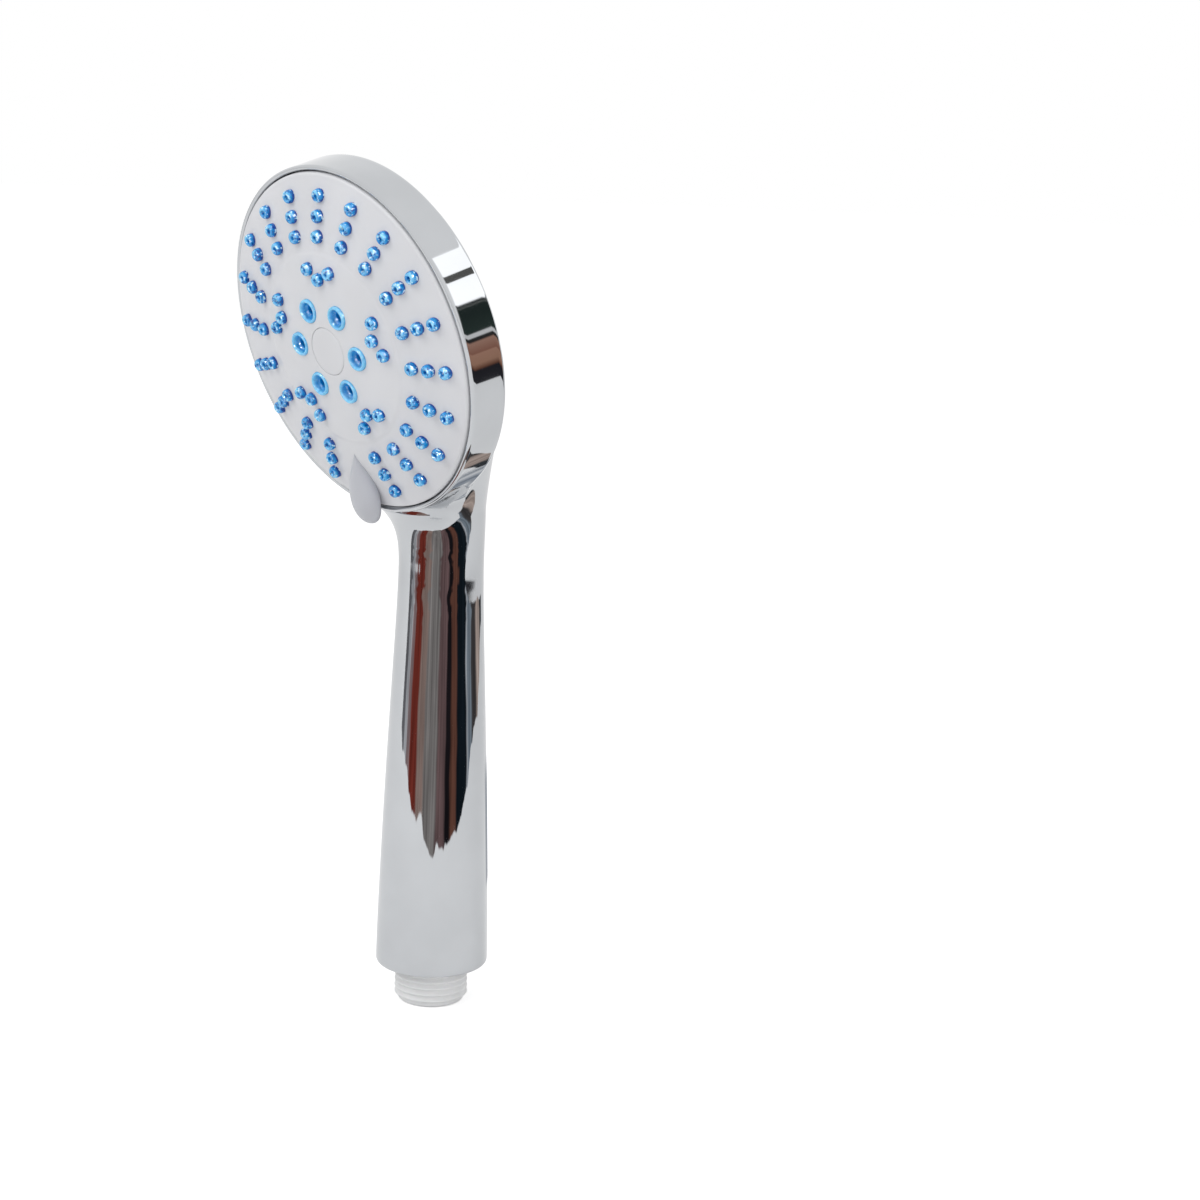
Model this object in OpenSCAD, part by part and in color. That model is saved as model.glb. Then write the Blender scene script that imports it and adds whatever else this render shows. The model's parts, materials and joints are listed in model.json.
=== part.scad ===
// Handheld shower head with a three-way spray selector.
// Z runs up the handle from the end of the inlet thread, -Y is the front.
// The head has a frame of its own: its z points out of the spray face,
// and its zero plane is the gap between the face and the rim.

/* [Handle] */
// Diameter of the handle at its lower end
grip_d = 32; // [30:0.5:36]
// Diameter of the handle at the neck, its thinnest place
neck_d = 23.4; // [22.5:0.1:26]
// Height of the handle's lower end above the end of the thread
grip_z = 11; // [10:0.5:16]
// Height at which the neck starts to widen into the head
neck_z = 122; // [112:1:126]
// Wall of the chromed shell in the handle and neck
shell_wall = 2.2; // [1.6:0.1:2.4]
// Rounding of the handle's lower edge
grip_round = 1.6; // [0.8:0.1:2.2]

/* [Head] */
// Outer diameter of the head's rim
rim_d = 96.4; // [96:0.2:99]
// Height of the rim's flat side band
band_h = 11.6; // [11:0.1:13]
// Thickness of the rounded lip in front
lip_w = 1.4; // [1.2:0.1:1.6]
// Rise of the domed back behind the band
back_rise = 12.8; // [12.6:0.1:15]
// Wall of the head's cup
cup_wall = 2.2; // [1.6:0.1:2.4]
// Forward tilt of the spray face
face_tilt = 16.2; // [14:0.1:18]
// Height of the head's centre
head_z = 190.2; // [189:0.2:192]
// Distance of the head's centre in front of the handle's axis
head_reach = 33.3; // [32:0.1:34]

/* [Spray face] */
// Running gap between the face and the rim
rim_gap = 0.35; // [0.3:0.05:0.6]
// Height of the domed face in the middle
dome_rise = 8.2; // [7.6:0.1:9]
// Height of the domed face at its edge
edge_rise = 0.9; // [0.6:0.1:1.2]
// Wall of the face
face_wall = 2.2; // [1.8:0.1:2.4]
// Turn of the lever away from straight down in the middle setting
lever_turn = -4.7; // [-8:0.1:8]
// Turn from one setting to the next
setting_step = 25; // [20:1:27]
// Thickness of the ribs between the spray chambers
rib_w = 1.4; // [1:0.1:1.6]

/* [Nozzles] */
// Number of places round the face, one of which holds the lever
row_slots = 20; // [18:1:20]
// Radius of the innermost rain nozzle of a row
row_r = 30.8; // [30.4:0.1:31.2]
// Distance between the rain nozzles of a row
row_pitch = 5.2; // [4.8:0.1:5.4]
// Rain nozzles in a row
row_count = 3; // [2:1:3]
// Groups of three mist nozzles
group_count = 5; // [4:1:6]
// Radius of the two outer nozzles of a group
group_r = 22.3; // [22:0.1:22.6]
// Distance of a group's inner nozzle inside the two outer ones
group_drop = 2.6; // [2.4:0.1:2.8]
// Half angle between the two outer nozzles of a group
group_half = 11.3; // [11:0.1:12]
// Diameter of a small nozzle at the face
nozzle_d = 3.3; // [3:0.1:3.4]
// Diameter of a small nozzle at its tip
nozzle_tip_d = 2.3; // [1.8:0.1:2.6]
// Height of a small nozzle above the face
nozzle_h = 2.1; // [1.6:0.1:2.6]
// Hole through a small nozzle
nozzle_bore = 0.9; // [0.6:0.1:1.1]
// Thickness of the silicone mats behind the face
mat_t = 1; // [0.8:0.1:1.2]
// Number of massage jets
jet_count = 6; // [5:1:6]
// Radius of the ring of massage jets
jet_r = 11.8; // [11.6:0.1:12]
// Outer diameter of a massage jet
jet_d = 6.6; // [6:0.1:6.8]
// Hole through a massage jet
jet_bore = 4; // [3:0.1:4.4]
// Height of a massage jet above the face
jet_h = 0.7; // [0.4:0.1:1]

/* [Lever] */
// Distance of the lever's tip from the middle of the face
lever_tip_r = 51.6; // [50.5:0.1:53]
// Distance of the lever's root from the middle of the face
lever_root_r = 31; // [30:0.5:34]
// Width of the lever
lever_w = 11; // [9:0.5:12]
// Height of the lever in front of the rim plane
lever_h = 6.6; // [6:0.1:7.5]

/* [Chamber stack] */
// Depth of the chambers' floor behind the rim plane
floor_z = 3.6; // [3.5:0.1:3.8]
// Thickness of the chamber plate
plate_t = 2.2; // [2:0.1:2.4]
// Thickness of the valve disc
valve_t = 2.8; // [2.6:0.1:3]
// Radius of the valve disc
valve_r = 36; // [35:0.5:37]
// Gap between the valve disc and the distributor
valve_gap = 0.4; // [0.3:0.05:0.5]
// Depth of the channels in the front of the valve disc
channel_t = 1.4; // [1.2:0.1:1.5]
// Diameter of the water ports
port_d = 5; // [4:0.1:5.4]
// Radius of the ring of ports in the valve disc
port_r = 20; // [19.5:0.1:20.5]
// Thickness of the distributor's plate
dist_t = 3.6; // [3.4:0.1:3.8]
// Radius of the distributor's plate
dist_r = 38.5; // [37:0.5:39]
// Running clearance of turning pieces on their shafts
run_gap = 0.08; // [0.05:0.01:0.1]
// Clearance of fixed pieces in their seats
fit_gap = 0.1; // [0.05:0.01:0.15]

/* [Turbine] */
// Radius of the hub post in the middle of the face
hub_r = 6; // [5.8:0.1:6.2]
// Height of the turbine
turbine_h = 4.2; // [3.8:0.1:4.3]
// Number of turbine vanes
vane_count = 8; // [6:1:10]
// Thickness of a vane
vane_t = 0.9; // [0.7:0.1:1.2]
// Thickness of the swirl disc
swirl_t = 1.5; // [1.2:0.1:1.6]

/* [Waterway] */
// Outer diameter of the inlet thread, G 1/2
thread_d = 20.955; // [20.955]
// Pitch of the inlet thread
thread_pitch = 1.814; // [1.814]
// Bore of the inlet nipple
inlet_bore = 14; // [12:0.5:15]
// Outer diameter of the tube in the handle
tube_d = 13; // [12:0.5:13.5]
// Bore of the tube in the handle
tube_bore = 8.6; // [7.4:0.2:8.8]
// Height of the tube's upper end
tube_top = 143; // [141:0.5:143.5]
// Diameter of the collar in the handle's lower end
collar_d = 24; // [23:0.5:25]
// Thickness of that collar
collar_t = 2.6; // [2.2:0.1:3.4]
// Thickness of the sealing rings' cord
ring_t = 1.8; // [1.5:0.1:2]

/* [Screws] */
// Radius of the ring of plate screws
screw_ring_r = 28; // [27.5:0.1:28.5]
// Thread diameter of the plate screws
screw_d = 3; // [2.5:0.1:3]
// Length of the plate screws below the head
screw_l = 6; // [5:0.5:6]
// Thread diameter of the centre screw
centre_screw_d = 3.8; // [3.4:0.1:4]
// Length of the centre screw below the head
centre_screw_l = 17; // [15:0.5:18]

/* [Hidden] */

fine = 96;
round_fn = 48;
small_fn = 24;
eps = 0.01;

// handle and shell
grip_r = grip_d / 2;
neck_r = neck_d / 2;
grip_power = 1.4;
grip_steps = 12;
grip_end_z = neck_z - 1;
floor_web = 2.4;
floor_t = collar_t + floor_web;
neck_len = 68;
neck_overlap = 1;
neck_step = 0.05;
neck_rings = 12;
neck_sides = 48;
neck_widen = 27;
neck_lean = 24;
neck_front_inset = 1.2;

// head shell
rim_r = rim_d / 2;
lip_top = 0.4;
band_back = lip_top - band_h;
mouth_r = rim_r - lip_w;
mouth_t = 6.2;
cup_r = rim_r - cup_wall;
back_z = band_back - back_rise;
back_sphere_r = (rim_r * rim_r + back_rise * back_rise) / (2 * back_rise);
back_centre = back_z + back_sphere_r;
rim_low_z = head_z - rim_r * cos(face_tilt) - lip_top * sin(face_tilt);
rim_low_y = -head_reach + rim_r * sin(face_tilt) - lip_top * cos(face_tilt);

// face
face_r = mouth_r - rim_gap;
face_edge = 0.9;
dome_r = ((face_r * face_r) + pow(dome_rise - edge_rise, 2)) / (2 * (dome_rise - edge_rise));
floor_at = -floor_z;
skirt_wall = 1.7;
skirt_in = face_r - skirt_wall;
rib_outer_r = (row_r + group_r) / 2 - 0.1;
rib_inner_r = (jet_r + group_r - group_drop) / 2 + 0.5;
jet_hole_r = jet_d / 2 + fit_gap;
nozzle_r = nozzle_d / 2;
nozzle_root = nozzle_r + fit_gap;
cap_r = 6.5;
cap_t = 1.6;
cap_seat = dome_rise - cap_t - 0.3;
screw_head_r = 3.3;
screw_head_t = 2.2;
washer_t = 0.6;
hub_seat = cap_seat - screw_head_t - washer_t - 0.6;
hub_well_r = screw_head_r + 0.4;

// stack, front to back
plate_back = floor_at - plate_t;
valve_back = plate_back - valve_t;
dist_front = valve_back - valve_gap;
dist_back = dist_front - dist_t;
plate_r = face_r;
port_angle = -90;
mist_hole_r = port_r + 1.5;
rain_hole_r = rib_outer_r + 5.4;
jet_feed_r = (hub_r + rib_inner_r) / 2;
swirl_top = floor_at + swirl_t;
chamber_port_r = [rain_hole_r, mist_hole_r, jet_feed_r];
swirl_feed = port_d / 2 - 0.4;
swirl_groove = 0.6;
swirl_slant = 50;
swirl_hole_r = 0.9;
turbine_low = swirl_top + 0.4;
turbine_in = hub_r + run_gap;
turbine_out = rib_inner_r - rib_w / 2 - 0.7;
turbine_hub = turbine_in + 1.3;
shutter_t = 1;

// distributor and manifold
post_r = 4.4;
post_top = plate_back + 1.2;
post_low = dist_back - 4;
hub_ring_z = (valve_back + plate_back) / 2;
duct_w = 17;
duct_wall = 1.7;
duct_low = -dist_r + 0.5;
duct_high = -11;
duct_back = dist_back - 7.4;
elbow_z = tube_top + 2;
pipe_bore_r = tube_bore / 2;
pipe_r = pipe_bore_r + 1.7;
pipe_end_y = -33;
pipe_end_h = dist_back - pipe_bore_r - 0.3;
socket_r = tube_d / 2 + run_gap;
socket_wall = 1.3;
socket_out_r = socket_r + socket_wall;
elbow_top = elbow_z + 3;
socket_len = 15;
socket_play = 0.3;
elbow_r = pipe_bore_r + 0.4;
seal_in_r = port_d / 2;
seal_out_r = seal_in_r + 2;
seal_pocket_r = seal_out_r + fit_gap;
seal_t = 2.2;
seal_clear = 0.08;
seal_front = valve_back - seal_clear;
seal_floor = dist_back - 1.6;
seal_boss_r = seal_pocket_r + 1.2;

// detent and stop
detent_ring_r = 30.5;
detent_angle = 30;
pin_r = 1.8;
pin_lift = 0.8;
pin_clear = 0.1;
pin_l = 3.4;
pin_tip = valve_back - pin_clear;
pin_pocket_r = pin_r + run_gap;
spring_l = 2.2;
pin_floor = pin_tip - pin_l - spring_l;
notch_r = pin_r + 0.25;
notch_t = pin_lift + 0.25;
stop_angle = 150;
stop_r = 1.5;
stop_top = valve_back + 1;
stop_side = 0.15;
stop_depth = 1.3;
stop_half = setting_step + asin((stop_r + stop_side) / detent_ring_r);

// screws
screw_angles = [90, 210, 330];
plate_head_r = 2.8;
plate_head_t = 1.8;
screw_seat = dist_front - plate_head_t - 0.2;
boss_r = screw_d / 2 + 2.2;
boss_top = dist_back;
boss_reach = 8;

// inlet
thread_r = thread_d / 2;
thread_depth = 1.16;
thread_root_r = thread_r - thread_depth;
thread_flank = [0.36, 0.58, 0.94] * thread_pitch;
thread_start = 1.3;
thread_turns = floor((grip_z - thread_start) / thread_pitch);
collar_r = collar_d / 2;
tube_r = tube_d / 2;
bore_r = inlet_bore / 2;
screen_z = 2.4;
screen_t = 1.2;
screen_seat_r = bore_r + 1;
screen_pitch = 1.7;
screen_hole_r = 0.6;
screen_rows = 4;
flow_z = grip_z + 1;
flow_t = 3;
flow_seat_r = tube_bore / 2 + 1;
flow_hole_r = 0.8;
ring_play = 0.02;
ring_groove = ring_t * 0.8;
ring_seat_r = tube_r - ring_groove;
hub_groove_r = post_r - ring_groove;
ring_side = 0.1;
ring_z = [tube_top - 4, tube_top - 8.4];

module at_head() translate([0, -head_reach, head_z]) rotate([90 + face_tilt, 0, 0]) children();
module at_face() at_head() rotate([0, 0, lever_turn]) children();
module polar(r, a) rotate([0, 0, a]) translate([r, 0, 0]) children();
module tube(r, bore, z0, z1, fn = round_fn) translate([0, 0, z0]) difference() {
    cylinder(h = z1 - z0, r = r, $fn = fn);
    translate([0, 0, -1]) cylinder(h = z1 - z0 + 2, r = bore, $fn = fn);
}
module rod(r, z0, z1, fn = round_fn) translate([0, 0, z0]) cylinder(h = z1 - z0, r = r, $fn = fn);

// places of the nozzles, in the turned face
row_angles = [for (i = [1:row_slots - 1]) -90 + i * 360 / row_slots];
rain_places = [for (a = row_angles, k = [0:row_count - 1]) [row_r + k * row_pitch, a]];
mist_places = [for (g = [0:group_count - 1]) let (a = 18 + g * 360 / group_count)
    each [[group_r, a - group_half], [group_r, a + group_half], [group_r - group_drop, a]]];
jet_places = [for (k = [0:jet_count - 1]) [jet_r, k * 360 / jet_count]];

// height of the dome at a radius
function dome_z(r, lower = 0) = dome_rise - dome_r + sqrt(pow(dome_r - lower, 2) - r * r);

// profile of the handle: radius at a height
function grip_profile(z) = let (u = max(0, min(1, (z - grip_z) / (neck_z - grip_z))))
    neck_r + (grip_r - neck_r) * (1 - pow(u, grip_power));

// sections of the neck: half width, rear and front at a height
function ease(u) = u * u * (3 - 2 * u);
function neck_half(u) = neck_r + neck_widen * pow(ease(u), 1.5);
function neck_rear(u) = neck_r - neck_lean * u * u * u;
function rim_plane_y(z) = -head_reach - (z - head_z) * tan(face_tilt);
function neck_front(z) = max(-neck_r + (rim_low_y + neck_front_inset + neck_r) * pow(max(0, z - neck_z) / (rim_low_z - neck_z), 3),
    rim_plane_y(z) + neck_front_inset);
function neck_ring(z, inset) = let (u = max(0, z - neck_z) / neck_len, slim = inset + neck_step,
        a = neck_half(u) - slim, rear = neck_rear(u) - slim, front = neck_front(z) + slim)
    [for (i = [0:neck_sides - 1]) let (t = 360 * i / neck_sides)
        [a * cos(t), (rear + front) / 2 + (rear - front) / 2 * sin(t), z]];

module loft(rings) {
    n = len(rings[0]);
    m = len(rings);
    polyhedron(points = [for (r = rings) each r],
        faces = concat([[for (i = [0:n - 1]) i]],
            [for (k = [0:m - 2], i = [0:n - 1]) let (j = (i + 1) % n)
                each [[k * n + i, (k + 1) * n + i, (k + 1) * n + j], [k * n + i, (k + 1) * n + j, k * n + j]]],
            [[for (i = [n - 1:-1:0]) (m - 1) * n + i]]), convexity = 4);
}

module neck(inset) loft(concat([neck_ring(neck_z - neck_overlap, inset)],
    [for (k = [1:neck_rings]) neck_ring(neck_z + k * (neck_len - inset) / neck_rings, inset)]));

// Handle, head cup and rim, one chromed moulding
module body_shell() color([0.86, 0.87, 0.88]) {
    difference() {
        union() {
            grip_solid(0, grip_z);
            neck(0);
            at_head() head_solid();
        }
        grip_solid(shell_wall, grip_z + floor_t);
        neck(shell_wall);
        at_head() cup_space();
        rod(collar_r + fit_gap, grip_z - 1, grip_z + collar_t + fit_gap);
        rod(tube_r + fit_gap, grip_z, grip_z + floor_t + 1);
    }
    intersection() {
        at_head() for (a = screw_angles) polar(screw_ring_r, a) difference() {
            rod(boss_r, back_z - boss_reach, boss_top);
            rod(screw_d / 2, boss_top - screw_l, boss_top + 1);
        }
        union() {
            neck(shell_wall / 2);
            at_head() translate([0, 0, back_centre]) sphere(r = back_sphere_r - cup_wall / 2, $fn = fine * 2);
        }
    }
}

// Handle as a solid of revolution, drawn in by a wall
module grip_solid(inset, z0) {
    edge = inset > 0 ? 0 : grip_round;
    steps = [for (k = [0:grip_steps]) z0 + edge + (grip_end_z + 1 - z0 - edge) * k / grip_steps];
    rotate_extrude($fn = fine) polygon(concat([[0, z0], [grip_profile(z0) - inset - edge, z0]],
        [for (k = [1:3]) let (t = 30 * k) [grip_profile(z0) - inset - edge * (1 - sin(t)), z0 + edge * (1 - cos(t))]],
        [for (z = steps) [grip_profile(z) - inset, z]], [[0, grip_end_z + 1]]));
}

module head_solid() {
    rod(rim_r, band_back, lip_top - lip_w / 2, fine);
    rotate_extrude($fn = fine) translate([rim_r - lip_w / 2, lip_top - lip_w / 2]) circle(r = lip_w / 2, $fn = small_fn);
    intersection() {
        rod(rim_r, back_z - 1, band_back + eps, fine);
        translate([0, 0, back_centre]) sphere(r = back_sphere_r, $fn = fine * 2);
    }
}

module cup_space() {
    rod(mouth_r, -mouth_t, lip_top + 40, fine);
    rod(cup_r, band_back, -mouth_t + eps, fine);
    intersection() {
        rod(cup_r, back_z, band_back + eps, fine);
        translate([0, 0, back_centre]) sphere(r = back_sphere_r - cup_wall, $fn = fine * 2);
    }
}

// Inner tube of white plastic with the threaded inlet
module waterway_tube() color([0.93, 0.93, 0.92]) difference() {
    union() {
        rod(thread_root_r, 0, grip_z + eps, fine);
        for (k = [0:thread_turns - 1]) translate([0, 0, thread_start + k * thread_pitch]) rotate_extrude($fn = fine)
            polygon([[thread_root_r - 1, 0], [thread_root_r, 0], [thread_r, thread_flank[0]],
                [thread_r, thread_flank[1]], [thread_root_r, thread_flank[2]], [thread_root_r - 1, thread_flank[2]]]);
        rod(collar_r, grip_z, grip_z + collar_t, fine);
        rod(tube_r, grip_z, tube_top);
    }
    rod(bore_r, -1, flow_z);
    rod(screen_seat_r, -1, screen_z + screen_t);
    rod(flow_seat_r, flow_z - eps, flow_z + flow_t);
    rod(tube_bore / 2, flow_z, tube_top + 1);
    for (z = ring_z) tube(tube_r + 1, ring_seat_r, z - ring_t / 2 - ring_side, z + ring_t / 2 + ring_side);
}

// Fine screen that keeps grit out, snapped into the nipple's mouth
module inlet_screen() color([0.72, 0.73, 0.75]) difference() {
    rod(screen_seat_r - fit_gap / 2, screen_z, screen_z + screen_t);
    for (x = [-screen_rows:screen_rows], y = [-screen_rows:screen_rows])
        if (norm([x, y]) * screen_pitch < bore_r - 1) translate([x, y, 0] * screen_pitch)
            rod(screen_hole_r, screen_z - 1, screen_z + screen_t + 1, 16);
}

// Disc that limits the flow
module flow_disc() color([0.2, 0.5, 0.3]) difference() {
    rod(flow_seat_r - fit_gap / 2, flow_z, flow_z + flow_t - fit_gap);
    for (a = [0:60:300]) polar(tube_bore / 3, a) rod(flow_hole_r, flow_z - 1, flow_z + flow_t + 1, 16);
    rod(flow_hole_r, flow_z - 1, flow_z + flow_t + 1, 16);
}

// Sealing rings between the tube and the manifold's socket
module tube_rings() color([0.1, 0.1, 0.1]) for (z = ring_z) translate([0, 0, z]) rotate_extrude($fn = fine)
    translate([(ring_seat_r + socket_r) / 2, 0]) circle(r = (socket_r - ring_seat_r) / 2 - ring_play, $fn = small_fn);

// Duct behind the distributor, with the socket that takes the tube
module manifold() color([0.88, 0.88, 0.86]) difference() {
    union() {
        at_head() translate([-duct_w / 2, duct_low, duct_back]) cube([duct_w, duct_high - duct_low, dist_back - duct_back]);
        pipe(pipe_r, duct_wall);
        rod(socket_out_r, tube_top - socket_len, elbow_top);
    }
    at_head() {
        translate([-dist_r, -2 * dist_r, dist_back]) cube([2 * dist_r, 2 * dist_r, dist_r]);
        translate([-duct_w / 2 + duct_wall, duct_low + duct_wall, duct_back + duct_wall])
            cube([duct_w - 2 * duct_wall, duct_high - duct_low - 2 * duct_wall, dist_back - duct_back]);
    }
    pipe(pipe_bore_r, 0);
    rod(elbow_r, tube_top, elbow_top - socket_wall);
    rod(socket_r, tube_top - socket_len - 1, tube_top + socket_play);
}

// Slanted pipe from the socket's elbow up into the duct
module pipe(r, end_wall) {
    y = -head_reach - pipe_end_y * sin(face_tilt) - pipe_end_h * cos(face_tilt);
    z = head_z + pipe_end_y * cos(face_tilt) - pipe_end_h * sin(face_tilt);
    translate([0, 0, elbow_z]) rotate([atan2(-y, z - elbow_z), 0, 0])
        cylinder(h = norm([y, z - elbow_z]) + end_wall, r = r, $fn = round_fn);
}

// Distributor plate, screwed into the cup, with the post the face turns on
module distributor() color([0.9, 0.9, 0.88]) at_head() difference() {
    union() {
        rod(dist_r, dist_back, dist_front, fine);
        rod(post_r, post_low, post_top);
        polar(port_r, port_angle) rod(seal_boss_r, seal_floor - 1, dist_back + eps);
        polar(detent_ring_r, detent_angle) rod(pin_pocket_r + 1.2, pin_floor - 0.8, dist_back + eps);
        polar(detent_ring_r, stop_angle) rod(stop_r, dist_front - eps, stop_top, small_fn);
    }
    polar(port_r, port_angle) {
        rod(seal_in_r, seal_floor - 2, dist_front + 1);
        rod(seal_pocket_r, seal_floor, dist_front + 1);
    }
    rod(centre_screw_d / 2 + fit_gap / 2, post_low + 0.6, post_top + 1);
    tube(post_r + 1, hub_groove_r, hub_ring_z - ring_t / 2 - ring_side, hub_ring_z + ring_t / 2 + ring_side);
    polar(detent_ring_r, detent_angle) rod(pin_pocket_r, pin_floor, dist_front + 1);
    for (a = screw_angles) polar(screw_ring_r, a) {
        rod(screw_d / 2 + 0.2, dist_back - 1, dist_front + 1);
        rod(plate_head_r + 0.2, screw_seat, dist_front + 1);
    }
}

// Countersunk-recess screws that hold the distributor
module plate_screws() color([0.75, 0.75, 0.77]) at_head() for (a = screw_angles) polar(screw_ring_r, a) difference() {
    union() {
        rod(plate_head_r, screw_seat, screw_seat + plate_head_t, small_fn);
        rod(screw_d / 2 - fit_gap / 2, screw_seat - screw_l, screw_seat + eps, small_fn);
    }
    cross_slot(screw_seat + plate_head_t, 1.6);
}

module cross_slot(z, r) for (a = [0, 90]) rotate([0, 0, a]) translate([-r, -0.4, z - 1]) cube([2 * r, 0.8, 2]);

module coil(r, wire, turns, z0, z1) {
    sides = 8;
    per_turn = 16;
    n = turns * per_turn;
    loft([for (k = [0:n]) let (a = 360 * k / per_turn, z = z0 + wire + (z1 - z0 - 2 * wire) * k / n)
        [for (i = [sides - 1:-1:0]) let (b = 360 * i / sides, q = r + wire * cos(b)) [q * cos(a), q * sin(a), z + wire * sin(b)]]]);
}

// Rubber cup that seals the port in use against the valve disc
module port_seal() color([0.15, 0.15, 0.16]) at_head() polar(port_r, port_angle)
    tube(seal_out_r, seal_in_r, seal_front - seal_t, seal_front);

// Spring that presses the seal forward
module seal_spring() color([0.7, 0.7, 0.72]) at_head() polar(port_r, port_angle)
    coil((seal_in_r + seal_out_r) / 2, 0.35, 2, seal_floor + 0.05, seal_front - seal_t - 0.05);

// Click pin of the selector
module detent_pin() color([0.85, 0.85, 0.8]) at_head() polar(detent_ring_r, detent_angle) {
    rod(pin_r, pin_tip - pin_l, pin_tip - pin_r);
    intersection() {
        translate([0, 0, pin_tip - pin_r]) sphere(r = pin_r, $fn = round_fn);
        rod(pin_r + 1, pin_tip - pin_r - eps, pin_tip + 1);
    }
}

// Spring that pushes the click pin forward
module detent_spring() color([0.7, 0.7, 0.72]) at_head() polar(detent_ring_r, detent_angle)
    coil(pin_r - 0.4, 0.22, 3, pin_floor + 0.05, pin_tip - pin_l - 0.05);

// Sealing ring round the post
module hub_ring() color([0.1, 0.1, 0.1]) at_head() translate([0, 0, hub_ring_z]) rotate_extrude($fn = fine)
    translate([(hub_groove_r + post_r + run_gap) / 2, 0]) circle(r = (post_r + run_gap - hub_groove_r) / 2 - ring_play, $fn = small_fn);

// Valve disc: three ports on one ring, each with a channel to its chamber
module valve_disc() color([0.82, 0.84, 0.86]) at_head() difference() {
    rod(valve_r, valve_back, plate_back, fine);
    rod(post_r + run_gap, valve_back - 1, plate_back + 1);
    for (k = [0:2]) rotate([0, 0, port_angle + (k - 1) * setting_step]) {
        translate([port_r, 0, 0]) rod(port_d / 2, valve_back - 1, plate_back + 1);
        translate([min(port_r, chamber_port_r[k]), -port_d / 2, plate_back - channel_t])
            cube([abs(chamber_port_r[k] - port_r), port_d, channel_t + 1]);
        translate([chamber_port_r[k], 0, 0]) rod(port_d / 2, plate_back - channel_t, plate_back + 1);
    }
    for (k = [-1:1]) polar(detent_ring_r, detent_angle + k * setting_step) rod(notch_r, valve_back - 1, valve_back + notch_t);
    intersection() {
        tube(detent_ring_r + stop_r + stop_side, detent_ring_r - stop_r - stop_side, valve_back - 1, valve_back + stop_depth, fine);
        rotate([0, 0, stop_angle]) translate([0, 0, valve_back - 2]) linear_extrude(valve_t + 4)
            polygon([[0, 0], for (s = [-1, 1]) [cos(stop_half), s * sin(stop_half)] * 2 * valve_r]);
    }
}

// Chamber plate: floor of the three spray chambers
module chamber_plate() color([0.78, 0.8, 0.82]) at_head() difference() {
    rod(plate_r, plate_back, floor_at, fine);
    rod(post_r + run_gap, plate_back - 1, floor_at + 1);
    for (k = [0:2]) polar(chamber_port_r[k], port_angle + (k - 1) * setting_step)
        rod(port_d / 2, plate_back - 1, floor_at + 1);
}

// Swirl disc: slanted holes that drive the turbine
module swirl_disc() color([0.9, 0.75, 0.3]) at_head() difference() {
    tube(rib_inner_r - rib_w / 2 - fit_gap, hub_r + fit_gap, floor_at, swirl_top);
    tube(jet_feed_r + swirl_feed, jet_feed_r - swirl_feed, floor_at - 1, floor_at + swirl_groove);
    for (k = [0:2]) polar(jet_feed_r, port_angle + k * 120) translate([0, 0, (floor_at + swirl_top) / 2])
        rotate([swirl_slant, 0, 0]) cylinder(h = swirl_t * 5, r = swirl_hole_r, center = true, $fn = small_fn);
}

// Turbine: a ring of vanes under a half shutter, it pulses the jets
module turbine() color([0.95, 0.55, 0.15]) at_head() {
    tube(turbine_hub, turbine_in, turbine_low, turbine_low + turbine_h);
    for (k = [0:vane_count - 1]) rotate([0, 0, k * 360 / vane_count])
        translate([turbine_hub - 0.3, -vane_t / 2, turbine_low])
            cube([turbine_out - turbine_hub + 0.3 - 0.2, vane_t, turbine_h - shutter_t + eps]);
    difference() {
        tube(turbine_out, turbine_hub - 0.2, turbine_low + turbine_h - shutter_t, turbine_low + turbine_h);
        for (s = [-1, 1]) polar(jet_r, s * 45) rod(jet_bore / 2, turbine_low, turbine_low + turbine_h + 1);
        polar(jet_r, 0) rod(jet_bore / 2, turbine_low, turbine_low + turbine_h + 1);
    }
}

// Solid under the dome, drawn in by a wall, between two heights
module dome_solid(inset, r, z0) intersection() {
    rod(r, z0, dome_rise + 1, fine);
    translate([0, 0, dome_rise - dome_r]) sphere(r = dome_r - inset, $fn = fine * 2);
}

// Face with the lever, hub and chamber ribs
module face_plate() color([0.8, 0.81, 0.83]) at_face() difference() {
    union() {
        difference() {
            dome_solid(0, face_r, floor_at);
            dome_solid(face_wall, skirt_in, floor_at - 1);
            rotate_extrude($fn = fine) polygon([[face_r - face_edge, dome_z(face_r) + face_edge * 0.24 + eps],
                [face_r - face_edge, dome_z(face_r) + 3], [face_r + 1, dome_z(face_r) + 3], [face_r + 1, dome_z(face_r) - face_edge - 1],
                [face_r, dome_z(face_r) - face_edge]]);
        }
        intersection() {
            dome_solid(face_wall / 2, skirt_in, floor_at);
            union() {
                rod(hub_r, floor_at, dome_rise);
                for (r = [rib_inner_r, rib_outer_r]) tube(r + rib_w / 2, r - rib_w / 2, floor_at, dome_rise, fine);
            }
        }
        rotate([0, 0, -90]) lever();
    }
    for (p = concat(rain_places, mist_places)) polar(p[0], p[1]) rod(nozzle_root, floor_at, dome_rise + 1, small_fn);
    for (p = jet_places) polar(p[0], p[1]) rod(jet_hole_r, floor_at, dome_rise + 1);
    rod(cap_r + fit_gap, cap_seat, dome_rise + 1);
    rod(hub_well_r, hub_seat, dome_rise);
    rod(centre_screw_d / 2 + fit_gap, floor_at - 1, dome_rise);
}

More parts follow.
